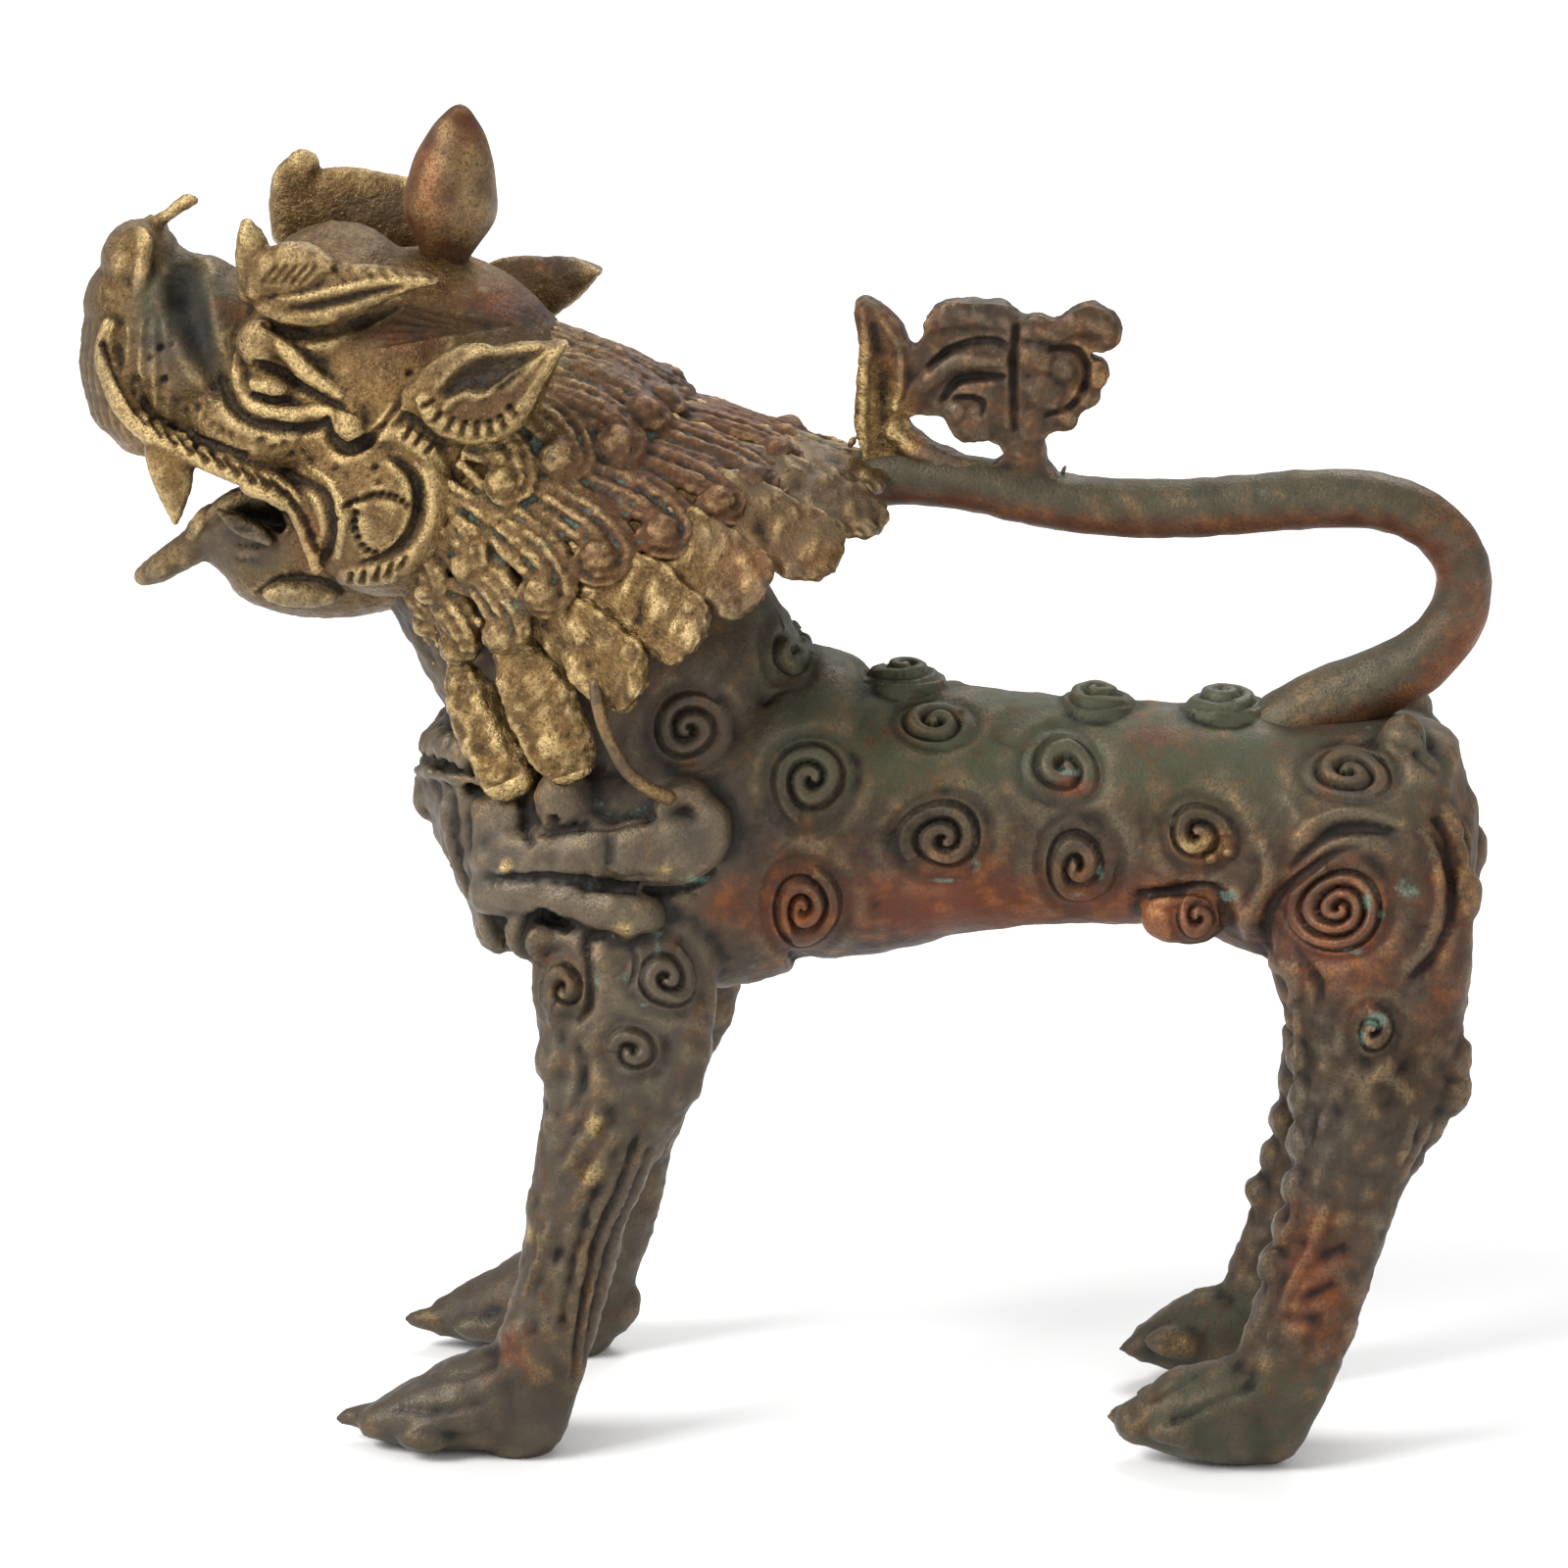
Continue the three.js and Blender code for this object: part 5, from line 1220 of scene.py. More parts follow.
TUFT_HOLE = [[13.9, 116], [14.5, 116.6], [16.2, 116.7], [17.7, 116.6], [18.5, 115.5], [19.5, 114.1],
             [20.4, 113.7], [22, 114], [23.3, 113.9], [24.4, 113.2], [24.6, 112.4], [24, 111.6],
             [23.1, 111.3], [20.9, 111.7], [18.1, 112.7], [15.9, 113.9], [14.4, 115.1]]
TUFT_HALF = 1.55
# Grooves and ribs on both faces of the tuft: x, z, half width and height.
TUFT_STROKES = [
    [[16.4, 122.4, 0.5, -0.5], [18.4, 124.1, 0.6, -0.8], [21, 125.1, 0.6, -0.8], [23.5, 125.3, 0.6, -0.7],
     [25, 124.6, 0.4, -0.5]],
    [[14.2, 117.6, 1.2, 0.4], [15.6, 120, 1.3, 0.7], [18.4, 122.4, 1.2, 0.8], [21.5, 123.2, 1.1, 0.8],
     [24.2, 123, 0.9, 0.5]],
    [[17.8, 118.6, 0.5, -0.5], [19.3, 120.6, 0.7, -0.9], [21.5, 121.2, 0.7, -0.9],
     [24.4, 121.3, 0.5, -0.6]],
    [[19.2, 118.8, 0.35, -0.6], [21, 118.9, 0.4, -0.7], [22.3, 118.3, 0.35, -0.6],
     [22.3, 117.2, 0.3, -0.4]],
    [[25.9, 127, 0.5, -0.5], [25.6, 123.5, 0.6, -0.8], [25.7, 119, 0.6, -0.7], [25.8, 115.4, 0.5, -0.4]],
    [[15.8, 126.6, 0.8, 0.3], [18, 127.8, 1.3, 0.6], [21.4, 127.9, 1.3, 0.6], [24.4, 127.6, 1.1, 0.4]],
    [[27, 126.2, 0.9, 0.4], [30, 126.3, 1.1, 0.5], [33, 127.5, 1.3, 0.6], [35.6, 127, 1.2, 0.6],
     [36, 125.8, 0.9, 0.4]],
    [[29.8, 124.6, 0.4, -0.5], [32.4, 124.5, 0.6, -0.8], [33.8, 122.6, 0.6, -0.8], [33.4, 120, 0.6, -0.7],
     [31.8, 118, 0.5, -0.6], [29.4, 117.2, 0.4, -0.4]],
    [[28, 116.6, 1.2, 0.3], [27, 113, 1.6, 0.5], [27, 109.6, 1.8, 0.3]],
    [[12.2, 115, 1.2, 0.4], [15, 112.6, 1.3, 0.7], [19, 110.8, 1.4, 0.6], [24, 109.6, 1.2, 0.3]],
    [[10.6, 112, 0.8, -0.2], [11.2, 117, 0.9, -0.4], [11, 122, 1.0, -0.5], [10, 126.6, 0.6, -0.3]],
    [[9, 112, 0.7, 0.3], [8.9, 118, 0.7, 0.4], [9.2, 124, 0.7, 0.4], [8.9, 128.4, 0.5, 0.2]],
    [[12.6, 117.6, 0.6, 0.3], [13.2, 121, 0.6, 0.4], [12.8, 124.6, 0.6, 0.4], [10.6, 128, 0.5, 0.2]],
]
# Knobs on it: x, z, radius and height.
TUFT_KNOBS = [[19.3, 117, 1.5, 0.6], [21.6, 115.8, 2.2, 0.7], [28.2, 123.4, 2.1, 0.8],
              [28.9, 119.6, 2.4, 0.8], [31.2, 122.3, 1.5, 0.6], [31.6, 116.9, 1.3, 0.5],
              [34.6, 121.4, 1.4, 0.5], [33.8, 119, 1.2, 0.4]]
# Nibs of metal left by the mould's vents: x and z.
CASTING_NIBS = [[7.6, 113.2], [31.2, 110.6]]
NIB_SIZE = [0.35, 0.4, 0.8]
TAIL_GRAIN = [[0.06, 3, 13]]
TUFT_GRAIN = [[0.09, 3, 15], [0.04, 1.2, 16]]


def tail():
    """The smooth rod of the tail, from the rump over the back to the mane."""
    return roughened(*tube([[x, 0, z, r, r] for x, z, r in TAIL], count=150, sides=40), TAIL_GRAIN)


def slab(loops, half):
    """A flat plate in the middle plane, cut to its first loop of x and z and pierced by the others."""
    flat = np.concatenate(loops)
    count = len(flat)
    cover = np.array(tessellate_polygon([[Vector((x, z, 0)) for x, z in loop] for loop in loops]))
    near = np.column_stack([flat[:, 0], np.full(count, -half), flat[:, 1]])
    faces = [cover, cover[:, ::-1] + count]
    start = 0
    for loop in loops:
        k = start + np.arange(len(loop))
        after = start + (np.arange(len(loop)) + 1) % len(loop)
        faces += [np.stack([k, after, after + count], 1), np.stack([k, after + count, k + count], 1)]
        start += len(loop)
    return np.concatenate([near, near * [1, -1, 1]]), np.concatenate(faces)


def closed(rows):
    """A smooth closed loop through the rows."""
    return spline(rows + rows[:1], 3 * len(rows))[:-1]


def tail_tuft():
    """The openwork tuft: an upright leaf, flame lobes round an opening, and a strut to the tail."""
    shells = [slab([closed(TUFT_RIM), closed(TUFT_HOLE)], TUFT_HALF)]
    shells += [ball([x, 0, z], NIB_SIZE, lean=20, rings=8, sides=10) for x, z in CASTING_NIBS]
    points, faces = fused(shells, grain_size=0.22, rounds=5)
    normals = normals_of(points, faces)
    relief = np.zeros((len(points), 2))
    for side in SIDES:
        drawn = Relief(points[:, 0], points[:, 2], smooth_step(0.3, 0.8, normals[:, 1] * side))
        for rows in TUFT_STROKES:
            drawn.stroke(rows, edge=0.9)
        for across, up, radius, high in TUFT_KNOBS:
            drawn.dome(across, up, radius, high, edge=0.8)
        relief += drawn.height()
    return points + normals * (relief.sum(1) + grain(points, TUFT_GRAIN))[:, None], faces, relief


# The strap, read at its own plane: across, up, out and radius.
STRAP = [[-18.8, 90, 21.6, 0.8], [-18.5, 87.8, 22.2, 0.75], [-18, 85.4, 22.2, 0.7],
         [-16.9, 82.8, 21.8, 0.7], [-15.4, 80.2, 21, 0.75], [-13.2, 78.3, 19.6, 0.8],
         [-10.8, 77.2, 18, 0.9]]


def strap():
    """The thin strap that hangs from the ruff to the left shoulder."""
    return seen_rope(STRAP, -1, STRAP_PLANE)


# Finish


def linear(red, green, blue):
    """A colour given in 0 to 255 screen numbers, in the renderer's linear light."""
    return tuple(((value / 255 + 0.055) / 1.055) ** 2.4 for value in (red, green, blue))


BROWN = linear(67, 55, 41)
DARK_BROWN = linear(47, 38, 31)
OLIVE = linear(73, 75, 57)
GREY = linear(82, 73, 61)
COPPER = linear(96, 50, 31)
ORANGE = linear(136, 74, 34)
BRASS = linear(124, 97, 58)
DARK_BRASS = linear(88, 67, 42)
# Colours of the bright high places and specks: partly worn metal and partly painted highlight.
GOLD = linear(206, 178, 124)
LIGHT_COPPER = linear(142, 92, 60)
HIGHLIT_WORN_BROWN = linear(104, 92, 74)
# The colour of dark patina, pits and painted shade.
SOOT_AND_SHADE = linear(17, 14, 12)
VERDIGRIS = linear(102, 128, 116)


class Tree:
    """Short words for one material's nodes, whose patterns read the piece's own Object coordinates."""

    def __init__(self, name):
        self.material = bpy.data.materials.new(name)
        self.material.use_nodes = True
        self.tree = self.material.node_tree
        self.tree.nodes.clear()
        self.place = self.node("ShaderNodeTexCoord").outputs["Object"]

    def node(self, kind, **values):
        """A new node with its settings."""
        made = self.tree.nodes.new(kind)
        for key, value in values.items():
            setattr(made, key, value)
        return made

    def give(self, socket, value):
        """Links an output to the socket, or sets it to a number or a colour."""
        if isinstance(value, bpy.types.NodeSocket):
            self.tree.links.new(value, socket)
        else:
            socket.default_value = (*value, 1) if isinstance(value, tuple) else value

    def noise(self, size, detail, rough):
        """Cloudy noise whose clouds are about size mm across."""
        made = self.node("ShaderNodeTexNoise")
        self.give(made.inputs["Vector"], self.place)
        self.give(made.inputs["Scale"], 1 / (size * MM))
        self.give(made.inputs["Detail"], detail)
        self.give(made.inputs["Roughness"], rough)
        return made.outputs["Fac"]

    def cells(self, size):
        """Distance from the nearest of many scattered points about size mm apart."""
        made = self.node("ShaderNodeTexVoronoi")
        self.give(made.inputs["Vector"], self.place)
        self.give(made.inputs["Scale"], 1 / (size * MM))
        return made.outputs["Distance"]

    def ramp(self, source, low, high, start=0.0, finish=1.0):
        """Start below low, finish above high, and a smooth step between them."""
        made = self.node("ShaderNodeMapRange", interpolation_type="SMOOTHSTEP")
        for key, value in zip(("Value", "From Min", "From Max", "To Min", "To Max"),
                              (source, low, high, start, finish)):
            self.give(made.inputs[key], value)
        return made.outputs["Result"]

    def math(self, operation, first, second, clamp=False):
        """Two sources joined by an operation, and kept between 0 and 1 where clamp is set."""
        made = self.node("ShaderNodeMath", operation=operation, use_clamp=clamp)
        self.give(made.inputs[0], first)
        self.give(made.inputs[1], second)
        return made.outputs[0]

    def total(self, *parts):
        """The sum of each source times its weight."""
        result = 0.0
        for source, weight in parts:
            result = self.math("ADD", self.math("MULTIPLY", source, weight), result)
        return result

    def shade(self, share, below, above):
        """A mix of two colours, all above where the share is 1."""
        made = self.node("ShaderNodeMix", data_type="RGBA")
        self.give(made.inputs[0], share)
        self.give(made.inputs[6], below)
        self.give(made.inputs[7], above)
        return made.outputs[2]

    def painted(self, name):
        """One of the shares that are painted on the piece's points."""
        return self.node("ShaderNodeAttribute", attribute_name=name).outputs["Fac"]


# The clouds in the metal's colour, from the widest to the finest: size, detail and roughness.
CLOUDS = [[14, 3, 0.6], [3.6, 5, 0.65], [1.1, 4, 0.65], [0.36, 3, 0.7]]
PITS_APART = 0.8
BUMP_DEPTH = 0.45


def bronze(name):
    """Old cast metal.

    Brown under olive, grey, copper and brass patches whose edges clouds of three sizes break up. The high
    places are worn bright and carry a painted highlight, and small bright glints are painted over the
    brass.
    The hollows are darkened, partly a dark patina and partly painted shade. Verdigris gathers where it is
    painted, and fine pits cover it all, deepest on the brass.
    """
    t = Tree(name)
    broad, patch, mottle, fine = (t.noise(*row) for row in CLOUDS)
    wear_and_highlight, hollow, green = t.painted("wear_and_highlight"), t.painted("hollow"), t.painted("green")

    def patchy(tone):
        """A painted share broken up by the clouds, as a share of its own."""
        cloudy = t.total((t.painted(tone), 1.6), (patch, 0.9), (mottle, 0.6), (broad, 0.5))
        return t.ramp(cloudy, 0.95, 1.75)

    brass, copper = patchy("brass"), patchy("copper")
    speckle = t.total((brass, 0.75), (broad, 0.5))
    colour = t.shade(t.ramp(mottle, 0.35, 0.65), BROWN, DARK_BROWN)
    colour = t.shade(patchy("olive"), colour, OLIVE)
    colour = t.shade(patchy("grey"), colour, GREY)
    colour = t.shade(copper, colour, t.shade(t.ramp(patch, 0.5, 0.72), COPPER, ORANGE))
    dull = t.ramp(t.total((patch, 0.6), (mottle, 0.4)), 0.38, 0.62)
    colour = t.shade(brass, colour, t.shade(dull, BRASS, DARK_BRASS))
    # The bright colour of worn high places, which also serves for the painted highlights and painted
    # glints.
    bright = t.shade(brass, t.shade(copper, HIGHLIT_WORN_BROWN, LIGHT_COPPER), GOLD)
    # High places painted bright: partly worn metal, partly the painted highlight that light leaves on them.
    rubbed = t.math("MULTIPLY", wear_and_highlight, t.ramp(fine, 0.25, 0.6, 0.2, 0.85))
    colour = t.shade(rubbed, colour, bright)
    # Painted glints: small bright specks, thickest on the brass.
    colour = t.shade(t.math("MULTIPLY", t.ramp(fine, 0.55, 0.72, 0, 0.35), speckle), colour, bright)
    # Dark pits in the metal.
    soot_and_shade = t.math("MULTIPLY", t.ramp(fine, 0.47, 0.28, 0, 0.6), speckle)
    # Hollows and cut grooves painted dark: partly a dark patina, partly painted shade.
    soot_and_shade = t.math("ADD", t.math("MULTIPLY", hollow, 0.82), soot_and_shade, clamp=True)
    colour = t.shade(soot_and_shade, colour, SOOT_AND_SHADE)
    crust = t.ramp(t.total((green, 1.0), (hollow, 0.2), (patch, 0.9), (mottle, 0.5)), 1.12, 1.42)
    crust = t.math("MULTIPLY", crust, t.ramp(fine, 0.35, 0.6, 0.25, 0.8))
    colour = t.shade(crust, colour, VERDIGRIS)
    # Each piece's painted dark patches: dark patina and painted shade.
    colour = t.shade(t.painted("soot_and_shade"), colour, SOOT_AND_SHADE)

    shader = t.node("ShaderNodeBsdfPrincipled")
    t.give(shader.inputs["Base Color"], colour)
    t.give(shader.inputs["Specular IOR Level"], 0.3)
    bare = t.total((brass, 0.3), (crust, -0.5), (wear_and_highlight, 0.15), (hollow, -0.2), (broad, 0.9))
    t.give(shader.inputs["Metallic"], bare)
    rough = t.total((brass, -0.18), (wear_and_highlight, -0.08), (crust, 0.25), (hollow, 0.1), (mottle, 0.3),
                    (broad, 0.8))
    t.give(shader.inputs["Roughness"], rough)
    pits = t.ramp(t.cells(PITS_APART), 0.06, 0.22)
    height = t.total((fine, 0.5), (mottle, 0.5), (pits, 0.2))
    bump = t.node("ShaderNodeBump")
    t.give(bump.inputs["Strength"], t.ramp(brass, 0, 1, 0.5, 0.95))
    t.give(bump.inputs["Distance"], BUMP_DEPTH * MM)
    t.give(bump.inputs["Height"], height)
    t.give(shader.inputs["Normal"], bump.outputs["Normal"])
    output = t.node("ShaderNodeOutputMaterial")
    t.give(output.inputs["Surface"], shader.outputs["BSDF"])
    return t.material


MOST_FACES = 190000
TONES = ("brass", "copper", "olive", "grey", "green", "soot_and_shade")
# From where to where a point is proud or sunk, in standard deviations, and raised or cut, in millimetres.
PROUD = (0.3, 1.9)
SUNK = (0.3, 1.7)
RAISED = (0.5, 0.95)
CUT = (0.15, 1.0)


def spots(points, rows, plane=None):
    """Painted share: the strongest of round patches, each falling off as a bell curve from its middle.

    Rows give across, up, radius across, radius up and amount, on a depth plane, or on x and z without one.
    """
    across, up = to_view(points, plane) if plane else (points[:, 0], points[:, 2])
    share = np.zeros(len(points))
    for x, z, wide, high, amount in rows:
        share = np.maximum(share, amount * np.exp(-(((across - x) / wide) ** 2) - ((up - z) / high) ** 2))
    return share


def piece(name, shape, material, tones, reach=6):
    """Puts a shape into the scene and paints its tones.

    A shape is points and faces, and may add its relief as two columns, raised and cut. Tones is a function
    from points and normals to painted shares. Wear, partly worn metal and partly a painted highlight, and
    hollow, partly dark patina and partly painted shade, come from how far each point stands out of, or lies
    below, the mean of its neighbours within reach. A dense skin is then thinned where it is flat.
    """
    points, faces, *relief = shape
    relief = relief[0] if relief else np.zeros((len(points), 2))
    edges = edges_of(faces)
    normals = normals_of(points, faces)
    proud = ((points - averaged(points, edges, reach)) * normals).sum(1)
    proud = averaged(proud, edges, 1)[:, 0]
    spread = np.std(proud) + 1e-6
    mesh = mesh_of(name, points * MM, faces)
    mesh.polygons.foreach_set("use_smooth", np.ones(len(faces), bool))
    # Proud points and raised strokes, to be painted bright: partly wear, partly a painted highlight.
    wear_and_highlight = np.maximum(smooth_step(*PROUD, proud / spread), 0.35 * smooth_step(*RAISED, relief[:, 0]))
    # Sunk points and cut strokes, to be painted dark: partly dark patina, partly painted shade.
    hollow = np.maximum(smooth_step(*SUNK, -proud / spread), 0.75 * smooth_step(*CUT, -relief[:, 1]))
    values = {"wear_and_highlight": wear_and_highlight, "hollow": hollow, **dict.fromkeys(TONES, 0.0), **tones(points, normals)}
    for key, value in values.items():
        layer = mesh.attributes.new(key, "FLOAT", "POINT")
        layer.data.foreach_set("value", np.full(len(points), np.clip(value, 0, 1), np.float32))
    mesh.materials.append(material)
    made = bpy.data.objects.new(name, mesh)
    bpy.context.scene.collection.objects.link(made)
    if len(faces) > MOST_FACES:
        thin = made.modifiers.new("thin", "DECIMATE")
        thin.ratio = MOST_FACES / len(faces)
        bpy.context.view_layer.update()
        finished = made.evaluated_get(bpy.context.evaluated_depsgraph_get())
        made.modifiers.clear()
        made.data = bpy.data.meshes.new_from_object(finished)
    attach(made, BODY)
    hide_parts(NODE)


# Painted patches: across, up, radius across, radius up and amount.
BODY_GREEN = [[33, 79.4, 1.6, 0.6, 0.75], [19, 66.6, 3.4, 0.5, 0.6], [22.6, 68.6, 0.7, 2, 0.5],
              [36.6, 67.4, 0.6, 1.6, 0.7], [34, 65.4, 2, 0.5, 0.5], [51, 65.8, 1, 0.8, 0.75],
              [66.2, 65.4, 0.6, 1.6, 0.7], [70.6, 67.4, 1.6, 1.8, 0.7], [68, 64, 0.8, 0.8, 0.6],
              [65, 59.8, 1.6, 0.5, 0.65], [67.4, 52, 1.6, 1.2, 0.75], [65.6, 50, 0.8, 1, 0.6],
              [-8.6, 65.9, 2.4, 0.5, 0.7], [-12.9, 57.8, 0.6, 1.6, 0.65], [-19.6, 54.4, 0.5, 2, 0.75],
              [-16.8, 54.2, 1.6, 0.8, 0.6], [-17.4, 51.6, 0.7, 1, 0.6], [-14, 51.2, 1.2, 0.5, 0.5],
              [-13, 36.8, 1, 0.5, 0.6], [66, 85.2, 1.4, 0.6, 0.6], [56.6, 58.6, 1, 0.8, 0.5],
              [-26.4, 8.6, 0.5, 0.8, 0.6], [73.4, 71, 0.5, 2.4, 0.55], [-2, 57, 2, 3, 0.4],
              [-17, 74.4, 4, 1.2, 0.35]]
BODY_COPPER = [[2, 62, 6, 6, 0.36], [20, 63, 14, 5, 0.5], [40, 63, 12, 5, 0.4], [62, 63, 9, 8, 0.34],
               [61, 23, 4, 8, 0.4], [75, 62, 4, 14, 0.2], [-4, 64, 5, 4, 0.26], [42, 82.4, 4, 1, 0.3],
               [48, 71.4, 3, 1.6, 0.5], [33, 77.4, 2.4, 1.6, 0.4], [-29, 14, 3, 3, 0.28]]
BODY_BRASS = [[-29.3, 67.8, 0.8, 0.8, 0.6], [-15.8, 61.6, 0.9, 1.2, 0.5], [-11.2, 68.8, 0.8, 0.5, 0.5],
              [-17.6, 67.9, 0.7, 0.4, 0.5], [-18.8, 39.2, 0.8, 1.2, 0.5], [-26.6, 26, 0.8, 1.2, 0.5],
              [-19.6, 34, 2, 1.4, 0.25], [47.6, 71.4, 3, 1.2, 0.5], [-27, 76.6, 1.4, 1.4, 0.3]]
# Painted shadow under the ruff's front leaves, behind the strap.
BODY_PAINTED_SHADOW = [[-13, 82, 4, 5, 0.6], [-20, 78, 4, 3, 0.4]]
RUMP_GREY = [[65, 80, 10, 8, 0.4]]
HEAD_BARE = [[-65, 129, 6, 7, 0.6], [-76, 124, 3, 14, 0.3], [-60, 103, 9, 5, 0.4], [-68, 99, 5, 3, 0.3],
             [-45, 137, 9, 2.5, 0.2], [-32, 121, 8, 5, 0.16], [-40, 127, 6, 3, 0.35], [-28, 130, 8, 4, 0.4],
             [-52, 97, 8, 4, 0.25]]
HEAD_GREY = [[-68, 121, 5, 6, 0.46], [-76, 124, 3, 14, 0.4], [-62, 102, 7, 4, 0.3], [-46, 137, 9, 2.5, 0.6]]
HEAD_OLIVE = [[-66, 131, 5, 5, 0.7], [-62, 124, 3, 6, 0.4], [-56, 98, 9, 4, 0.35]]
HEAD_COPPER = [[-44, 125, 8, 4, 0.3], [-34, 131, 10, 3, 0.3], [-58, 129, 4, 2, 0.3], [-50, 114, 4, 2, 0.34],
               [-51, 104, 2, 4, 0.55], [-41, 119, 4, 3, 0.3], [-64, 115.6, 6, 1.6, 0.34],
               [-40, 112, 2, 4, 0.34], [-59, 121, 2, 3, 0.3], [-31, 119, 5, 1.6, 0.3]]
# Painted shade in the mouth, the snout's valley, the crease by the eye, the ear's cup, the temple and the
# crown.
HEAD_PAINTED_SHADE = [[-57.4, 106, 3, 1.2, 1.0], [-63.8, 128, 3, 6, 0.42], [-31, 122, 6, 4, 0.22],
             [-61.6, 120, 1.2, 3, 0.4], [-40, 126, 8, 3, 0.25], [-44, 150, 12, 8, 0.35]]
BUD_ORANGE = [[-40.4, 138.4, 2.6, 3.6, 0.7], [-39.6, 143, 2, 4, 0.4], [-34.6, 149, 2, 3, 0.3]]
LEAF_COPPER = [[-2, 103, 5, 4, 0.3], [4, 104, 5, 3, 0.2], [-15, 93, 3, 4, 0.2]]
TUFT_ORANGE = [[11, 115, 3.2, 5.5, 0.8], [9.6, 121, 2, 4, 0.4]]


def body_tones(points, normals):
    """Olive back and feet, copper lower flank and thighs, grey-brown shoulders, legs and rump."""
    x, z = points[:, 0], points[:, 2]
    back = smooth_step(71, 82, z) * smooth_step(-10, 8, x)
    front = smooth_step(2, -8, x) * smooth_step(92, 84, z)
    chest = smooth_step(-24, -36, x)
    legs = smooth_step(54, 40, z)
    feet = smooth_step(16, 6, z)
    grey = [0.36 * front + 0.3 * chest * front, 0.16 * legs, spots(points, RUMP_GREY)]
    return {
        "brass": spots(points, BODY_BRASS),
        "copper": spots(points, BODY_COPPER),
        "olive": 0.46 * back + feet,
        "grey": np.maximum.reduce(grey),
        "green": 0.14 + 0.06 * feet + 0.85 * spots(points, BODY_GREEN, TRUNK_PLANE),
        # Legs and feet darker towards the bottom, and the painted shadow under the front leaves.
        "soot_and_shade": 0.14 * legs + 0.18 * feet + spots(points, BODY_PAINTED_SHADOW, CHEST_PLANE),
    }


def head_tones(points, normals):
    """Brass cheeks, lips, brows and ears, dark grey-green snout and jaw, grey crown, copper temples."""
    return {
        "brass": 0.44 - spots(points, HEAD_BARE, FACE_PLANE),
        "copper": spots(points, HEAD_COPPER, FACE_PLANE),
        "olive": spots(points, HEAD_OLIVE, FACE_PLANE),
        "grey": spots(points, HEAD_GREY, FACE_PLANE),
        "green": 0.12,
        # Painted shade in the head's recesses and on the temple and crown.
        "soot_and_shade": spots(points, HEAD_PAINTED_SHADE, FACE_PLANE),
    }


def bud_tones(points, normals):
    """Dark brass, with an orange pitted patch low on its left and a brown tip."""
    patch = spots(points, BUD_ORANGE)
    return {"brass": 0.14 - 0.1 * patch, "copper": 0.16 + patch, "grey": 0.26, "green": 0.05, "soot_and_shade": 0.22}


def mane_tones(points, normals):
    """Brass at the front and below, browner towards the rear and the nape, green in the gaps."""
    rear = smooth_step(-36, -12, points[:, 0]) * smooth_step(88, 102, points[:, 2])
    # Darker towards the rear as painted shade, on the side away from the light.
    return {"brass": 0.46 - 0.34 * rear, "copper": 0.2 + 0.06 * rear, "olive": 0.24 * rear,
            "grey": 0.16 * rear, "green": 0.34, "soot_and_shade": 0.06 + 0.12 * rear}


def leaf_tones(points, normals):
    """Bright brass on the front leaves, light copper brown on the rear ones."""
    rear = smooth_step(-16, -2, points[:, 0])
    copper = spots(points, LEAF_COPPER, EAR_PLANE)
    return {"brass": 0.72 - 0.5 * rear, "copper": 0.06 + copper, "grey": 0.5 * rear, "green": 0.2}


def strap_tones(points, normals):
    """Brown, a little brassy."""
    return {"brass": 0.12, "copper": 0.16, "soot_and_shade": 0.22}


def tail_tones(points, normals):
    """Olive-brown on top, redder beneath and in the loop."""
    low = smooth_step(0.2, -0.5, normals[:, 2])
    loop = smooth_step(68, 74, points[:, 0])
    # Beneath, where the normal points down, it is painted darker as shade.
    return {"copper": 0.3 * low + 0.16 * loop, "olive": 0.3 * (1 - low), "green": 0.1,
            "soot_and_shade": 0.2 + 0.12 * low}


def tuft_tones(points, normals):
    """Brown, rubbed orange on the lower part of the upright leaf."""
    leaf = spots(points, TUFT_ORANGE)
    return {"brass": 0.9 * leaf, "copper": 0.1 + 0.8 * leaf, "olive": 0.12, "green": 0.12}


metal = bronze("old_cast_bronze")
piece("cast_body", cast_body(), metal, body_tones)
piece("head", cast_head(), metal, head_tones, reach=8)
piece("bud", bud(), metal, bud_tones, reach=3)
piece("mane_locks", mane(), metal, mane_tones, reach=6)
piece("ruff_leaves", ruff_leaves(), metal, leaf_tones, reach=4)
piece("tail", tail(), metal, tail_tones, reach=4)
piece("tail_tuft", tail_tuft(), metal, tuft_tones, reach=8)
piece("shoulder_strap", strap(), metal, strap_tones, reach=3)


# Studio

FLOOR_HALF = 3.0
PALE = (0.92, 0.92, 0.92)
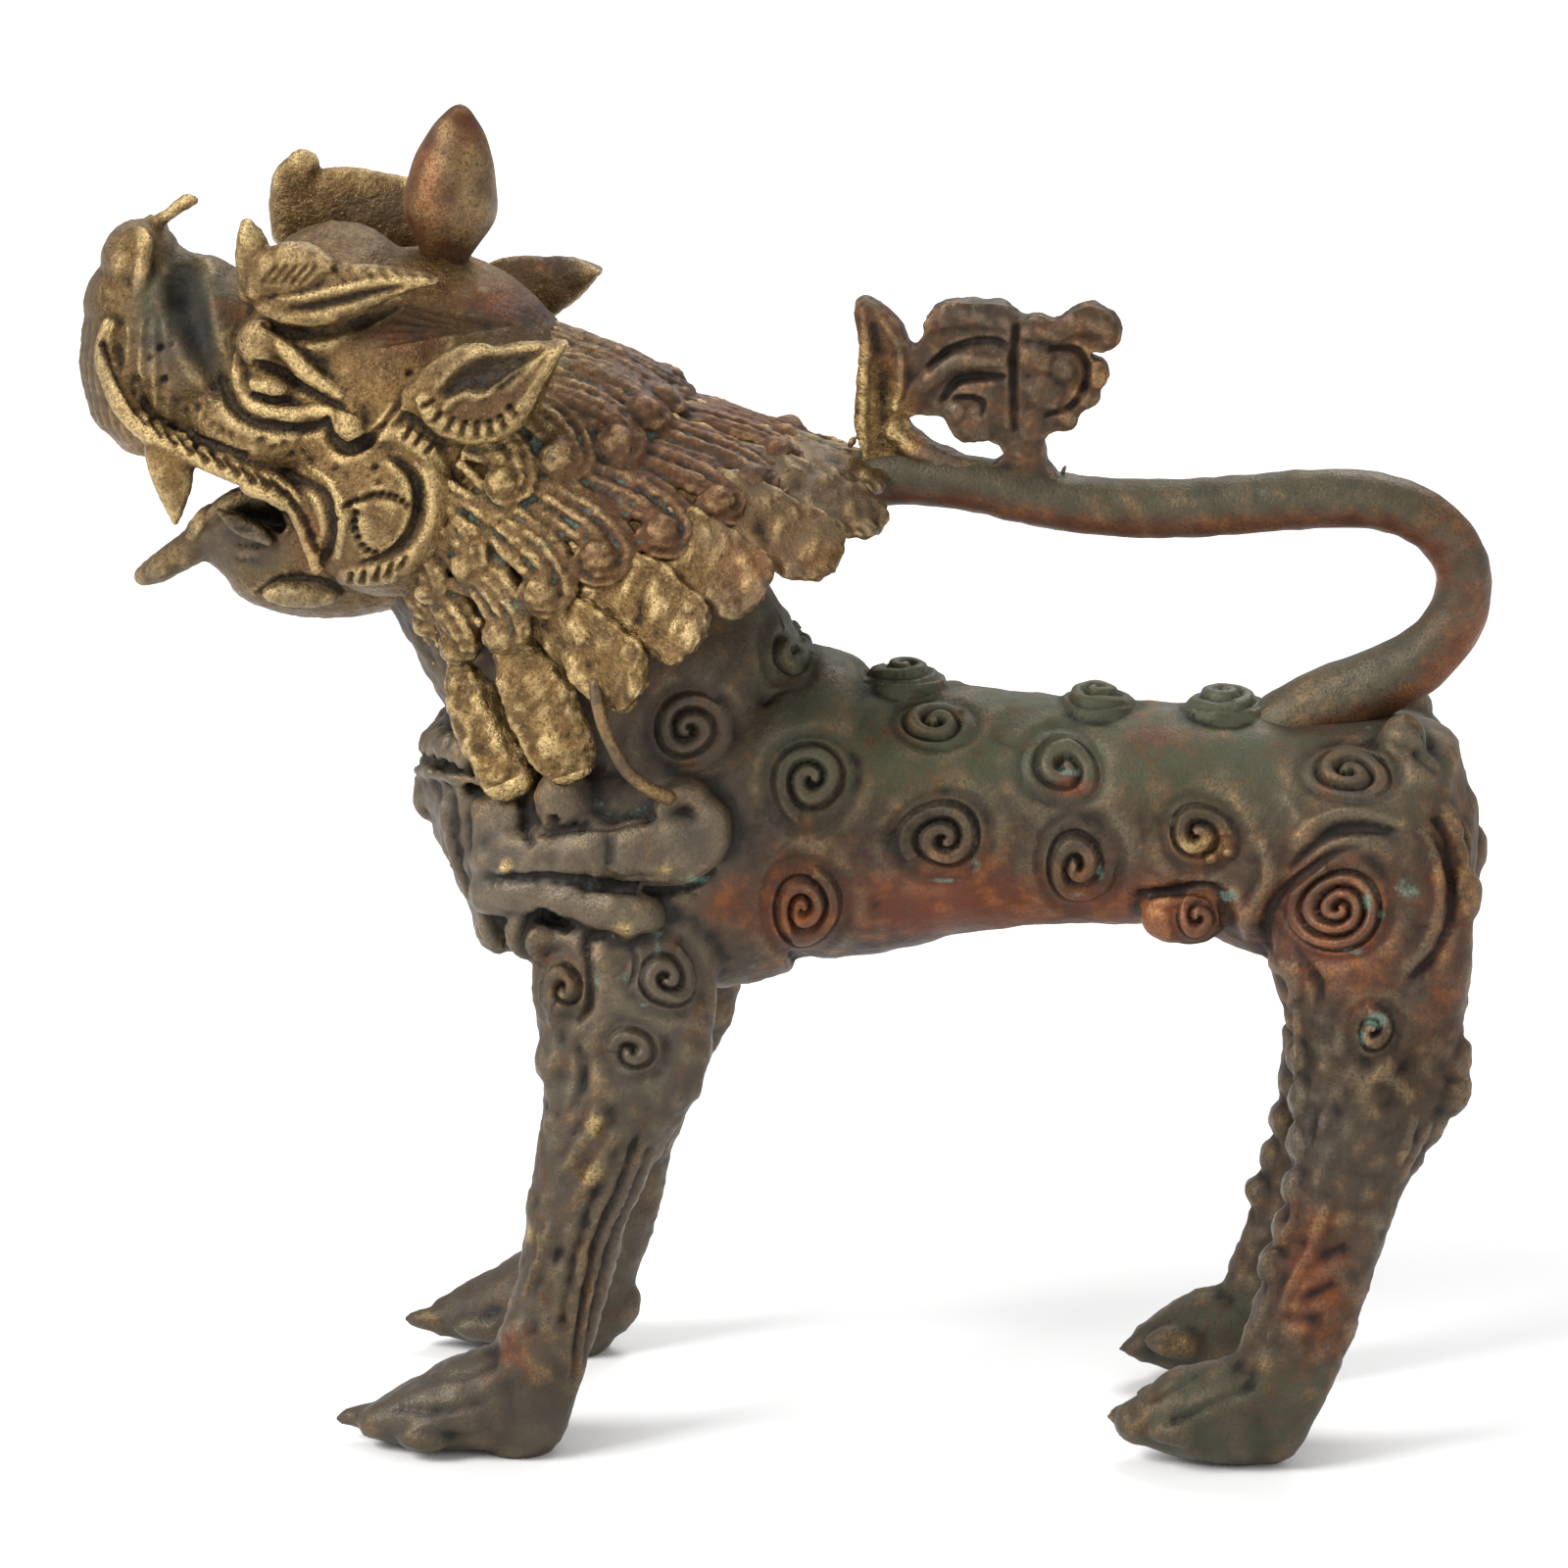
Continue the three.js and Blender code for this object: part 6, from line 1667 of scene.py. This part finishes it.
# Lamps: name, place, width and watts. Each looks at the middle of the lion.
LAMPS = [("key", (-1.0, -0.7, 1.0), 0.7, 24), ("fill", (0.9, -0.9, 0.6), 0.8, 4),
         ("back", (0.2, 0.9, 1.1), 0.7, 10)]
LAMP_AIM = (0, 0, 0.08)
SKY = 0.6
CAMERA_AIM = (0, 0, 0.0737)
CAMERA_TURN = 6
CAMERA_DOWN = 15
LENS = 204.5
SENSOR = 36
CLIP_END = 20


def plain(name, colour, rough):
    """A flat studio surface, not part of the lion."""
    material = bpy.data.materials.new(name)
    material.use_nodes = True
    shader = material.node_tree.nodes["Principled BSDF"]
    shader.inputs["Base Color"].default_value = (*colour, 1)
    shader.inputs["Roughness"].default_value = rough
    return material


def studio_floor():
    """A wide square just under the feet."""
    corners = [(x * FLOOR_HALF, y * FLOOR_HALF, 0) for x, y in ((-1, -1), (1, -1), (1, 1), (-1, 1))]
    mesh = bpy.data.meshes.new("floor")
    mesh.from_pydata(corners, [], [(0, 1, 2, 3)])
    mesh.materials.append(plain("pale_floor", PALE, 0.9))
    made = bpy.data.objects.new("floor", mesh)
    bpy.context.scene.collection.objects.link(made)


def lamp(name, place, size, watts):
    """A square soft light that looks at the lion."""
    light = bpy.data.lights.new(name, "AREA")
    light.size = size
    light.energy = watts
    made = bpy.data.objects.new(name, light)
    made.location = place
    made.rotation_euler = (Vector(place) - Vector(LAMP_AIM)).to_track_quat("Z", "Y").to_euler()
    bpy.context.scene.collection.objects.link(made)


def camera():
    """Looks down on the lion's left side, turned a little towards its tail, from one metre away."""
    view = bpy.data.cameras.new("camera")
    view.lens = LENS
    view.sensor_width = SENSOR
    view.clip_end = CLIP_END
    made = bpy.data.objects.new("camera", view)
    side, down = np.radians(CAMERA_TURN), np.radians(CAMERA_DOWN)
    back = Vector((np.sin(side) * np.cos(down), -np.cos(side) * np.cos(down), np.sin(down)))
    turned = back.to_track_quat("Z", "Y").to_matrix().to_4x4()
    made.matrix_world = Matrix.Translation(Vector(CAMERA_AIM) + back) @ turned
    bpy.context.scene.collection.objects.link(made)
    bpy.context.scene.camera = made


camera()
studio_floor()
for row in LAMPS:
    lamp(*row)
world = bpy.data.worlds.new("studio")
world.use_nodes = True
world.node_tree.nodes["Background"].inputs["Color"].default_value = (1, 1, 1, 1)
world.node_tree.nodes["Background"].inputs["Strength"].default_value = SKY
bpy.context.scene.world = world
bpy.context.scene.view_settings.view_transform = "Standard"
